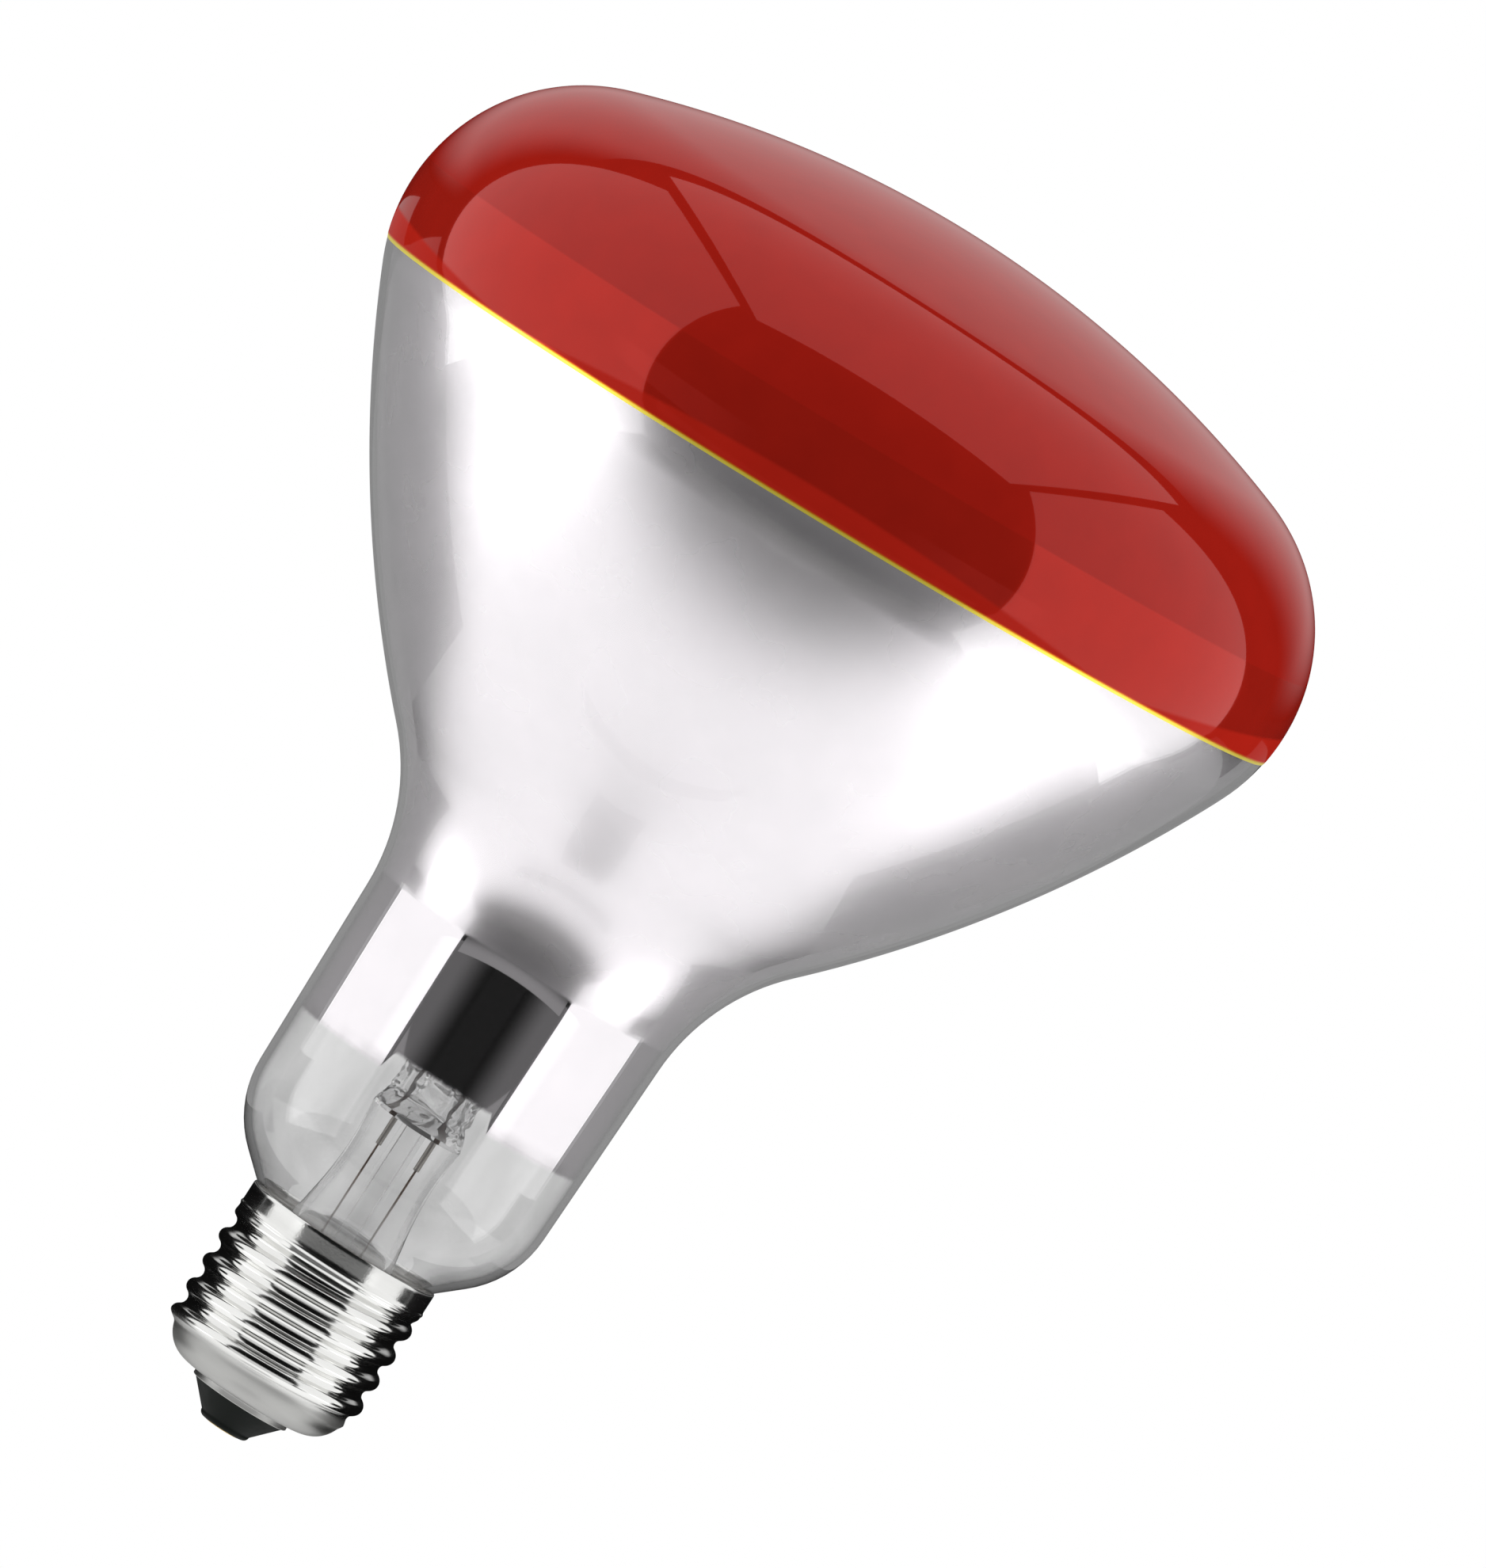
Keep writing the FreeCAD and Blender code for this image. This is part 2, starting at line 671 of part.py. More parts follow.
# Glass cane on the pinch, with the button that holds the support wires
turned(
    "arbor_rod",
    [
        ("0", "pinch_top_height"),
        ("arbor_radius", "pinch_top_height"),
        ("arbor_radius", "filament_height - button_thickness"),
        ("button_radius", "filament_height - button_thickness / 2"),
        ("button_radius", "filament_height + button_thickness / 2"),
        ("0", "filament_height + button_thickness"),
    ],
    {4: ("(button_radius^2 + (button_thickness / 2)^2) / button_thickness", -1)},
)


# Wires
def bent_wire(points, radius, bend):
    """A round wire through the points, with an arc of the bend's size at each inner point."""
    edges = []
    start = points[0]
    for before, corner, after in zip(points, points[1:], points[2:]):
        back = (before - corner).normalize()
        onward = (after - corner).normalize()
        half_turn = (math.pi - back.getAngle(onward)) / 2
        trim = bend * math.tan(half_turn)
        middle = (back + onward).normalize()
        crown = corner + middle * (bend / math.cos(half_turn) - bend)
        into = corner + back * trim
        out_of = corner + onward * trim
        edges.append(Part.LineSegment(start, into).toShape())
        edges.append(Part.Arc(into, crown, out_of).toShape())
        start = out_of
    edges.append(Part.LineSegment(start, points[-1]).toShape())
    ring = Part.Wire([Part.Circle(points[0], points[1] - points[0], radius).toShape()])
    return Part.Wire(edges).makePipeShell([ring], True, True)


def stem_wire(label, shape):
    """A finished wire, turned into the stem's own axes."""
    return stand(finished(label, shape))


lead_x = value_of("lead_offset")
thin = value_of("thin_wire_radius")
bend = value_of("wire_bend")
lead_bend = value_of("lead_bend")
straight = value_of("lead_straight")
sleeve_low = value_of("pinch_base_height - sleeve_length")
coil_height = value_of("filament_height")
ring_radius = value_of("filament_ring_radius")
inner_lead = value_of("inner_lead_radius")
lead_loop = value_of("lead_loop_radius")
pinch_top = value_of("pinch_top_height")

for way, side in {"near": 1, "far": -1}.items():
    offset = "lead_offset" if side > 0 else "0 - lead_offset"
    rod(way + "_seal_wire", "seal_wire_radius", offset, "pinch_base_height", "pinch_top_height")
    rod(
        way + "_lead_sleeve", "sleeve_radius", offset,
        "pinch_base_height - sleeve_length", "pinch_base_height",
    )
    hook_low = coil_height - lead_loop
    route = [
        FreeCAD.Vector(side * lead_x, 0, pinch_top),
        FreeCAD.Vector(side * lead_x, 0, pinch_top + straight),
        FreeCAD.Vector(side * ring_radius, 0, hook_low - straight),
        FreeCAD.Vector(side * ring_radius, 0, hook_low),
    ]
    hook = Part.makeTorus(
        lead_loop, inner_lead, FreeCAD.Vector(side * ring_radius, 0, coil_height), FreeCAD.Vector(0, 1, 0)
    )
    stem_wire(way + "_inner_lead", bent_wire(route, inner_lead, lead_bend).fuse(hook).removeSplitter())

# The near thin wire runs out to the shell's inner wall, the far one down into the eyelet
weld_level = "first_crest_height + thread_pitch * (weld_turns + (180 - stem_turn) / 360)"
weld_height = value_of(weld_level)
bead = value_of("side_solder_radius")
bead_x = value_of("cement_radius") - bead
stem_wire(
    "near_outer_lead",
    bent_wire(
        [
            FreeCAD.Vector(lead_x, 0, sleeve_low),
            FreeCAD.Vector(lead_x, 0, weld_height),
            FreeCAD.Vector(bead_x - bead, 0, weld_height),
        ],
        thin,
        bend,
    ),
)
eyelet_top = value_of("eyelet_height")
dip = value_of("exhaust_tip_height") + bend
stem_wire(
    "far_outer_lead",
    bent_wire(
        [
            FreeCAD.Vector(-lead_x, 0, sleeve_low),
            FreeCAD.Vector(-lead_x, 0, dip),
            FreeCAD.Vector(0, 0, eyelet_top + bend),
            FreeCAD.Vector(0, 0, value_of("solder_height")),
        ],
        thin,
        bend,
    ),
)
side_solder = doc.addObject("Part::Sphere", "side_solder")
side_solder.Label = "side_solder"
tie(side_solder, Radius="side_solder_radius")
stand(
    side_solder,
    x="cement_radius - side_solder_radius",
    z=weld_level,
)

# Filament: the coiled wire as the rod that its turns fill, bent to a half ring
filament = doc.addObject("Part::Torus", "filament")
filament.Label = "filament"
filament.Angle3 = 180
tie(filament, Radius1="filament_ring_radius", Radius2="coil_radius")
stand(filament, z="filament_height")

support = value_of("support_radius")
loop = value_of("loop_radius")
for number in range(1, SUPPORT_COUNT + 1):
    angle = math.pi * number / (SUPPORT_COUNT + 1)
    way_out = FreeCAD.Vector(math.cos(angle), math.sin(angle), 0)
    along = FreeCAD.Vector(-math.sin(angle), math.cos(angle), 0)
    level = FreeCAD.Vector(0, 0, coil_height)
    foot = level + way_out * value_of("button_radius")
    reach = ring_radius - loop - value_of("button_radius")
    arm = Part.makeCylinder(support, reach, foot, way_out)
    eye = Part.makeTorus(loop, support, level + way_out * ring_radius, along)
    stem_wire(f"support_wire_{number}", arm.fuse(eye).removeSplitter())

doc.recompute()

SUB_PARTS = [
    "glass_bulb", "mirror_coat", "red_coat", "cap_shell", "cap_insulator", "centre_contact",
    "centre_solder", "side_solder", "cap_cement", "stem_flare", "exhaust_tube", "arbor_rod",
    "near_inner_lead", "far_inner_lead", "near_seal_wire", "far_seal_wire", "near_lead_sleeve",
    "far_lead_sleeve", "near_outer_lead", "far_outer_lead", "filament",
] + [f"support_wire_{number}" for number in range(1, SUPPORT_COUNT + 1)]

for item in doc.Objects:
    if "Invalid" in item.State or "Error" in item.State:
        raise RuntimeError(f"{item.Label} did not build: {item.State}")
for label in SUB_PARTS:
    shape = doc.getObjectsByLabel(label)[0].Shape
    if shape.isNull() or not shape.isValid() or shape.Volume <= 0:
        raise RuntimeError(f"{label} has no sound shape")

os.makedirs("parts", exist_ok=True)
for label in SUB_PARTS:
    doc.getObjectsByLabel(label)[0].Shape.exportStep(f"parts/{label}.step")
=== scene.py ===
"""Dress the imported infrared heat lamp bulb.

The lamp is a blown glass bulb with a mirror film inside it and red lacquer on its face, a rolled screw
cap, and a glass stem whose lead wires carry the filament. Sizes are in millimetres and are turned to
metres as each mesh is made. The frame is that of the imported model: the origin is the tip of the centre
contact, and +Z runs along the lamp's axis to the red face.
"""

import logging
import math
from dataclasses import dataclass, field
from enum import Enum
from functools import partial
from typing import Any, Callable, Sequence

import bmesh
import bpy
from mathutils import Matrix, Quaternion, Vector, noise

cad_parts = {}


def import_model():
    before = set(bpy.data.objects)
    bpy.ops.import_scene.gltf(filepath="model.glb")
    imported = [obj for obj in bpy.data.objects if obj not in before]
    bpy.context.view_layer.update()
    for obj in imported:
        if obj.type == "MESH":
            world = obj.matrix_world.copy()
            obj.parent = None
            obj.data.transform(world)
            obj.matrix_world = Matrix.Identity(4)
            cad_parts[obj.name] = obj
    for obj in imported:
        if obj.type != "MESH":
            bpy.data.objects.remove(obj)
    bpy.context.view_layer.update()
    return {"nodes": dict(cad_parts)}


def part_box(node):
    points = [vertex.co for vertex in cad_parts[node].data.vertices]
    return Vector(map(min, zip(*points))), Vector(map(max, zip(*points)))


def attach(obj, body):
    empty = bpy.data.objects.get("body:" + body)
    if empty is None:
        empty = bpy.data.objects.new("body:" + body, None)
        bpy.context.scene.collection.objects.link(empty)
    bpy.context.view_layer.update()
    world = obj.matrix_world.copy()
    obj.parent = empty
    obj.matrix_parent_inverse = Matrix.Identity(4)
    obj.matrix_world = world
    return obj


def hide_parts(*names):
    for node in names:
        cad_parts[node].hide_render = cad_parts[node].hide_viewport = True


LOG = logging.getLogger("heat_lamp")
MM = 0.001
BODY = "root"
SHARP_ANGLE = math.radians(40)
WIRE_SIDES = 20
BEND_POINTS = 8
STEM_TURN = -math.radians(32.0)
STEM_AXES = Matrix.Rotation(STEM_TURN, 4, "Z")
# A height above the whole lamp, for a cloud that has no upper end
NO_TOP_MM = 1e3
# A spacing so wide that an arc gets its fewest points
FEWEST = 1e3

Ring = tuple[float, float]
Outline = list[Ring]
Point = tuple[float, float, float]

# Node types and settings that come up often. A map range takes its value, the two ends that it comes from
# and the two ends that it goes to.
MATH = "ShaderNodeMath"
VECTOR = "ShaderNodeVectorMath"
RANGE = "ShaderNodeMapRange"
MIX = "ShaderNodeMix"
NOISE = "ShaderNodeTexNoise"
MAPPING = "ShaderNodeMapping"
PRINCIPLED = "ShaderNodeBsdfPrincipled"
SMOOTH = {"interpolation_type": "SMOOTHSTEP"}
COLOUR = {"data_type": "RGBA"}
LEVEL = (1.0, 1.0, 0.0)


class Bow(Enum):
    """The side of its own direction to which an arc of an outline bows."""

    LEFT = 1
    RIGHT = -1


class Way(Enum):
    """The two leads of the stem, by the side of the axis on which they run."""

    NEAR = 1
    FAR = -1


def linear(hex_colour: str) -> tuple[float, float, float, float]:
    """Turn an sRGB colour into linear light.

    Args:
        hex_colour: the colour as a hash sign and six hex digits.

    Returns:
        Red, green, blue and an alpha of 1.
    """
    parts = [int(hex_colour[k:k + 2], 16) / 255 for k in (1, 3, 5)]
    red, green, blue = [p / 12.92 if p <= 0.04045 else ((p + 0.055) / 1.055) ** 2.4 for p in parts]
    return red, green, blue, 1.0


def add_node(tree: bpy.types.NodeTree, kind: str, *values: Any, **settings: Any) -> bpy.types.Node:
    """Add one node with its settings, its plain values and its links.

    Args:
        tree: the node tree that takes the node.
        kind: the node's type name.
        values: the inputs in order, or one dictionary of them by name or number. Each is a plain value, or
            a socket or a node to link.
        settings: the node's own properties by name.

    Returns:
        The new node.
    """
    node = tree.nodes.new(kind)
    for name, value in settings.items():
        setattr(node, name, value)
    named = values and isinstance(values[0], dict)
    inputs = values[0] if named else dict(enumerate(values))
    for key, value in inputs.items():
        if isinstance(value, bpy.types.Node):
            value = value.outputs[0]
        if isinstance(value, bpy.types.NodeSocket):
            tree.links.new(value, node.inputs[key])
        else:
            node.inputs[key].default_value = value
    return node


class Surface:
    """A material in the making, whose textures follow the lamp's own coordinates."""

    def __init__(self, name: str) -> None:
        """Start an empty material.

        Args:
            name: the material's name.
        """
        self.material = bpy.data.materials.new(name)
        self.material.use_nodes = True
        self.tree = self.material.node_tree
        self.tree.nodes.clear()
        self.add = partial(add_node, self.tree)
        self.place = self.add("ShaderNodeTexCoord").outputs["Object"]

    def axes(self) -> dict[str, bpy.types.NodeSocket]:
        """The three coordinates, each by its letter."""
        parts = self.add("ShaderNodeSeparateXYZ", self.place).outputs
        return {axis: parts[axis] for axis in "XYZ"}

    def finished(self, shader: bpy.types.Node) -> bpy.types.Material:
        """Close the material with its shader and give it back."""
        self.add("ShaderNodeOutputMaterial", shader)
        return self.material


@dataclass(frozen=True)
class BlownGlass:
    """Clear drawn glass: smooth and bright, with faint long clouds in a bare wall."""

    name: str = "blown_soda_lime_glass"
    tint: str = "#FFFFFF"
    cloud: str = "#E6E6E6"
    ior: float = 1.51
    cloud_mm: float = 7.0
    stretch: float = 0.35
    cloud_top_mm: float = 50.0
    cloud_blend_mm: float = 1.0
    transmission: float = 1.0
    foot_transmission: float = 1.0
    foot_mm: float = 33.0
    foot_blend_mm: float = 4.0

    def material(self) -> bpy.types.Material:
        """Build the glass, which lets the lamps' light through to what is behind it.

        Returns:
            The finished material.
        """
        surface = Surface(self.name)
        add = surface.add
        height = surface.axes()["Z"]
        drawn = add(MAPPING, {"Vector": surface.place, "Scale": (1.0, 1.0, self.stretch)})
        cloud = add(NOISE, {"Vector": drawn, "Scale": 1.0 / (self.cloud_mm * MM), "Detail": 1.5})
        spread = add(RANGE, cloud, 0.3, 0.7)
        above = (self.cloud_top_mm + self.cloud_blend_mm) * MM
        below = (self.cloud_top_mm - self.cloud_blend_mm) * MM
        bare = add(RANGE, height, above, below, **SMOOTH)
        share = add(MATH, spread, bare, operation="MULTIPLY")
        colour = add(MIX, {0: share, 6: linear(self.tint), 7: linear(self.cloud)}, **COLOUR)
        low = (self.foot_mm - self.foot_blend_mm) * MM
        high = (self.foot_mm + self.foot_blend_mm) * MM
        passed = add(RANGE, height, low, high, self.foot_transmission, self.transmission, **SMOOTH)
        glass = add(PRINCIPLED, {
            "Base Color": colour.outputs[2],
            "Roughness": 0.0,
            "IOR": self.ior,
            "Transmission Weight": passed,
        })
        clear = add("ShaderNodeBsdfTransparent", linear(self.tint))
        shadow = add("ShaderNodeLightPath").outputs["Is Shadow Ray"]
        return surface.finished(add("ShaderNodeMixShader", shadow, glass, clear))


@dataclass(frozen=True)
class MirrorFilm:
    """Aluminium evaporated on glass: a true mirror in the neck, satin above, thinned out at its low edge."""

    name: str = "evaporated_aluminium"
    bright: str = "#FBF6FA"
    dull: str = "#E8E5E8"
    satin_height_mm: float = 67.8
    satin_blend_mm: float = 0.8
    clear_roughness: float = 0.02
    satin_roughness: float = 0.27
    cloud_mm: float = 14.0
    edge_low_mm: float = 48.4
    edge_high_mm: float = 49.3
    streak_mm: float = 0.8
    streak_stretch: float = 0.15
    streak_reach_mm: float = 0.5
    notch_mm: float = 2.4
    notch_half_mm: float = 6.6
    notch_blend_mm: float = 1.0

    def cover(self, surface: Surface) -> bpy.types.Node:
        """The film's cover, which fades out with short streaks at its low edge.

        Args:
            surface: the film's material in the making.

        Returns:
            The node that gives 0 for bare glass and 1 for the full film.
        """
        add = surface.add
        axes = surface.axes()
        drawn = add(MAPPING, {"Vector": surface.place, "Scale": (1.0, 1.0, self.streak_stretch)})
        streak = add(NOISE, {"Vector": drawn, "Scale": 1.0 / (self.streak_mm * MM), "Detail": 2.0})
        reach = self.streak_reach_mm / 2 * MM
        sway = add(RANGE, streak, 0.0, 1.0, -reach, reach)
        # The film's edge stands higher in front of the stem, and the back is taken to match
        aside = add(MATH, axes["X"], operation="ABSOLUTE")
        near = self.notch_half_mm * MM
        far = (self.notch_half_mm + self.notch_blend_mm) * MM
        notch = add(RANGE, aside, near, far, -self.notch_mm * MM, 0.0, **SMOOTH)
        swayed = add(MATH, axes["Z"], sway, operation="ADD")
        height = add(MATH, swayed, notch, operation="ADD")
        return add(RANGE, height, self.edge_low_mm * MM, self.edge_high_mm * MM, **SMOOTH)

    def material(self) -> bpy.types.Material:
        """Build the film, a mirror below one height and satin above it.

        Returns:
            The finished material.
        """
        surface = Surface(self.name)
        add = surface.add
        cloud = add(NOISE, {"Vector": surface.place, "Scale": 1.0 / (self.cloud_mm * MM), "Detail": 3.0})
        low = (self.satin_height_mm - self.satin_blend_mm / 2) * MM
        high = (self.satin_height_mm + self.satin_blend_mm / 2) * MM
        height = surface.axes()["Z"]
        satin = add(RANGE, height, low, high, self.clear_roughness, self.satin_roughness, **SMOOTH)
        uneven = add(RANGE, cloud, 0.0, 1.0, 0.9, 1.1)
        colour = add(MIX, {0: cloud, 6: linear(self.dull), 7: linear(self.bright)}, **COLOUR)
        return surface.finished(add(PRINCIPLED, {
            "Base Color": colour.outputs[2],
            "Metallic": 1.0,
            "Roughness": add(MATH, satin, uneven, operation="MULTIPLY"),
            "Alpha": self.cover(surface),
        }))


@dataclass(frozen=True)
class RedLacquer:
    """Translucent red lacquer on glass: deep and glossy, more orange where the mirror is behind it."""

    name: str = "ruby_lacquer_on_glass"
    deep: str = "#961A11"
    backed: str = "#AA2015"
    thin_edge: str = "#FBE75A"
    edge_mid: str = "#F0A428"
    edge_end: str = "#CC3A18"
    line_height_mm: float = 134.3
    line_tilt: float = 0.0288
    backed_rise_mm: float = 10.9
    backed_blend_mm: float = 0.15
    edge_mm: float = 0.6
    edge_metal: float = 0.7
    edge_roughness: float = 0.3
    # The strip above the paint line: its darker colour is painted shade where the face mirrors no table
    strip_mm: float = 3.3
    strip_blend_mm: float = 0.3
    strip_reach_mm: float = 42.0
    strip_shade_gain: float = 0.9
    strip_metal: float = 0.15
    strip_gloss: float = 0.1
    mottle_mm: float = 5.0
    backed_metal: float = 0.46
    deep_metal: float = 0.2
    gloss: float = 0.5
    roughness: float = 0.06

    def strip(self, add: Callable[..., bpy.types.Node], x: Any, rise: bpy.types.Node) -> bpy.types.Node:
        """The strip above the paint line, which narrows to a point on each side: its darker colour is
        painted shade, for the band where the face mirrors no table, and it has less metal and gloss.

        Args:
            add: adds a node to the lacquer's tree.
            x: the socket of the X coordinate.
            rise: the node of the height above the paint line.

        Returns:
            The node that gives the strip's share.
        """
        aside = add(MATH, x, self.strip_reach_mm * MM, operation="DIVIDE")
        squared = add(MATH, aside, aside, operation="MULTIPLY")
        width = add(MATH, squared, -self.strip_mm * MM, self.strip_mm * MM, operation="MULTIPLY_ADD")
        reach = add(MATH, width, operation="ABSOLUTE")
        over = add(MATH, rise, reach, operation="SUBTRACT")
        return add(RANGE, over, self.strip_blend_mm * MM, -self.strip_blend_mm * MM, **SMOOTH)

    def thin_edge_colour(self, add: Callable[..., bpy.types.Node], rise: bpy.types.Node) -> bpy.types.Node:
        """The colours of the thin edge, from yellow at the paint line to red.

        Args:
            add: adds a node to the lacquer's tree.
            rise: the node of the height above the paint line.

        Returns:
            The node that gives the colour.
        """
        ramp = add("ShaderNodeValToRGB", add(RANGE, rise, 0.0, self.edge_mm * MM))
        stops = ramp.color_ramp.elements
        stops[0].color = linear(self.thin_edge)
        stops[1].color = linear(self.edge_end)
        stops.new(0.45).color = linear(self.thin_edge)
        stops.new(0.7).color = linear(self.edge_mid)
        return ramp

    def material(self) -> bpy.types.Material:
        """Build the lacquer, which changes with the height above the paint line.

        Returns:
            The finished material.
        """
        surface = Surface(self.name)
        add = surface.add
        axes = surface.axes()
        mottle = add(NOISE, {"Vector": surface.place, "Scale": 1.0 / (self.mottle_mm * MM), "Detail": 4.0})
        slope = add(MATH, axes["X"], -self.line_tilt, axes["Z"], operation="MULTIPLY_ADD")
        rise = add(MATH, slope, self.line_height_mm * MM, operation="SUBTRACT")
        above = (self.backed_rise_mm + self.backed_blend_mm) * MM
        below = (self.backed_rise_mm - self.backed_blend_mm) * MM
        backed = add(RANGE, rise, above, below, **SMOOTH)
        full = add(RANGE, rise, self.edge_mm * 0.7 * MM, self.edge_mm * 1.1 * MM)
        strip = self.strip(add, axes["X"], rise)
        mirror = add(RANGE, backed, 0.0, 1.0, self.deep_metal, self.backed_metal)
        dulled = add(MIX, {0: strip, 2: mirror, 3: self.strip_metal})
        body = add(MIX, {0: backed, 6: linear(self.deep), 7: linear(self.backed)}, **COLOUR)
        uneven = add(RANGE, mottle, 0.0, 1.0, 0.9, 1.08)
        # Painted shade: the colour is darkened in the strip, where the face mirrors no table
        strip_shade = add(MIX, {0: strip, 2: 1.0, 3: self.strip_shade_gain})
        gain = add(MATH, uneven, strip_shade, operation="MULTIPLY")
        mottled = add(MIX, {0: 1.0, 6: body.outputs[2], 7: gain}, blend_type="MULTIPLY", **COLOUR)
        ramp = self.thin_edge_colour(add, rise)
        colour = add(MIX, {0: full, 6: ramp, 7: mottled.outputs[2]}, **COLOUR)
        return surface.finished(add(PRINCIPLED, {
            "Base Color": colour.outputs[2],
            "Metallic": add(MIX, {0: full, 2: self.edge_metal, 3: dulled}),
            "Roughness": add(MIX, {0: full, 2: self.edge_roughness, 3: self.roughness}),
            "Specular IOR Level": 0.0,
            "Coat Weight": add(MIX, {0: strip, 2: self.gloss, 3: self.strip_gloss}),
            "Coat Roughness": 0.02,
            "Coat IOR": 1.5,
        }))


@dataclass(frozen=True)
class NickelPlate:
    """Nickel plate on rolled sheet: bright in the thread, satin in the drawn bowl, with a fine grain."""

    name: str = "rolled_nickel_plate"
    bright: str = "#EFEFED"
    worn: str = "#D8D8D6"
    bowl: str = "#B0B0AE"
    bowl_height_mm: float = 9.0
    bowl_blend_mm: float = 0.8
    skirt_height_mm: float = 24.2
    skirt_blend_mm: float = 0.3
    bright_roughness: float = 0.13
    satin_roughness: float = 0.42
    skirt_roughness: float = 0.15
    grain_mm: float = 0.3
    grain_depth_mm: float = 0.011
    thread_grain: float = 0.04
    skirt_grain: float = 0.7
    streak_mm: float = 1.6
    streak_stretch: float = 0.12

    def material(self) -> bpy.types.Material:
        """Build the plate; its grain is drawn as coarse as the picture can show.

        Returns:
            The finished material.
        """
        surface = Surface(self.name)
        add = surface.add
        height = surface.axes()["Z"]
        grain = add(NOISE, {"Vector": surface.place, "Scale": 1.0 / (self.grain_mm * MM), "Detail": 2.0})
        along = (self.streak_stretch, self.streak_stretch, 1.0)
        rolled = add(MAPPING, {"Vector": surface.place, "Scale": along})
        streak = add(NOISE, {"Vector": rolled, "Scale": 1.0 / (self.streak_mm * MM), "Detail": 4.0})
        over_bowl = (self.bowl_height_mm + self.bowl_blend_mm) * MM
        under_bowl = (self.bowl_height_mm - self.bowl_blend_mm) * MM
        in_bowl = add(RANGE, height, over_bowl, under_bowl, **SMOOTH)
        low = (self.skirt_height_mm - self.skirt_blend_mm) * MM
        high = (self.skirt_height_mm + self.skirt_blend_mm) * MM
        plain = add(RANGE, height, low, high, self.bright_roughness, self.skirt_roughness, **SMOOTH)
        satin = add(MIX, {0: in_bowl, 2: plain, 3: self.satin_roughness})
        uneven = add(RANGE, streak, 0.3, 0.7, 0.75, 1.3)
        plate = add(MIX, {0: streak, 6: linear(self.bright), 7: linear(self.worn)}, **COLOUR)
        colour = add(MIX, {0: in_bowl, 6: plate.outputs[2], 7: linear(self.bowl)}, **COLOUR)
        depth = add(RANGE, height, low, high, self.thread_grain, self.skirt_grain, **SMOOTH)
        distance = self.grain_depth_mm * MM
        return surface.finished(add(PRINCIPLED, {
            "Base Color": colour.outputs[2],
            "Metallic": 1.0,
            "Roughness": add(MATH, satin, uneven, operation="MULTIPLY"),
            "Normal": add("ShaderNodeBump", {"Height": grain, "Strength": depth, "Distance": distance}),
        }))


@dataclass(frozen=True)
class PlainFinish:
    """A finish of two near colours that drift into each other, with a grain of its own size."""

    name: str
    light: str
    dark: str
    metallic: float
    roughness: float
    grain_mm: float
    relief_mm: float = 0.0
    stretch: Point = (1.0, 1.0, 1.0)
    specular: float = 0.5

    def material(self) -> bpy.types.Material:
        """Build the finish from one noise, which drives its colour, its roughness and its relief.

        Returns:
            The finished material.
        """
        surface = Surface(self.name)
        add = surface.add
        drawn = add(MAPPING, {"Vector": surface.place, "Scale": self.stretch})
        grain = add(NOISE, {"Vector": drawn, "Scale": 1.0 / (self.grain_mm * MM), "Detail": 4.0})
        colour = add(MIX, {0: grain, 6: linear(self.dark), 7: linear(self.light)}, **COLOUR)
        distance = self.relief_mm * MM
        return surface.finished(add(PRINCIPLED, {
            "Base Color": colour.outputs[2],
            "Metallic": self.metallic,
            "Roughness": add(RANGE, grain, 0.0, 1.0, self.roughness * 0.75, self.roughness * 1.25),
            "Specular IOR Level": self.specular,
            "Normal": add("ShaderNodeBump", {"Height": grain, "Strength": 1.0, "Distance": distance}),
        }))


# The grain of a drawn wire runs along it
DRAWN = (1.0, 1.0, 0.1)
# Pressed black glass: near black, with the faint sheen of a moulded face
BLACK_GLASS = PlainFinish("pressed_black_glass", "#0F1411", "#0A0D0B", 0.0, 0.5, 1.2, 0.003, specular=0.08)
# Stamped brass: yellow and a little tarnished
CONTACT_BRASS = PlainFinish("stamped_brass", "#D9BF74", "#A88A44", 1.0, 0.3, 0.8, 0.004)
# Tin solder: grey, dull and frosted
TIN_SOLDER = PlainFinish("tin_solder", "#C4C4C2", "#8E8E8C", 1.0, 0.45, 0.5, 0.02)
# Baked capping cement: pale grey, chalky and grainy
BAKED_CEMENT = PlainFinish("baked_cement", "#E4E2DE", "#C6C3BE", 0.0, 0.9, 0.6, 0.03)
# Drawn nickel wire: grey with long die marks
NICKEL_WIRE = PlainFinish("drawn_nickel_wire", "#8F8B86", "#5D5A57", 1.0, 0.3, 0.3, 0.002, DRAWN)
# Copper-clad wire in the seal: dark brown
SEAL_WIRE = PlainFinish("oxidised_seal_wire", "#4E413B", "#2A2421", 1.0, 0.4, 0.4, 0.002, DRAWN)
# Thin copper wire: a dark, dull brown
THIN_WIRE = PlainFinish("heat_darkened_copper", "#6E5A50", "#3E342F", 1.0, 0.4, 0.3, 0.002, DRAWN)
# Drawn tungsten: dark steel grey
TUNGSTEN = PlainFinish("drawn_tungsten", "#77777A", "#4A4A4D", 1.0, 0.35, 0.2, 0.002)
# Drawn molybdenum: a lighter grey than tungsten
MOLYBDENUM = PlainFinish("drawn_molybdenum", "#A3A3A6", "#77777A", 1.0, 0.3, 0.2, 0.002)
# Drawn lead glass of the stem: bends the view so little that its outlines stay faint
STEM_GLASS = BlownGlass(
    "drawn_lead_glass", "#FEFEFE", "#F6F6F6", 1.14, 3.0, 0.2, NO_TOP_MM, foot_transmission=0.84,
)
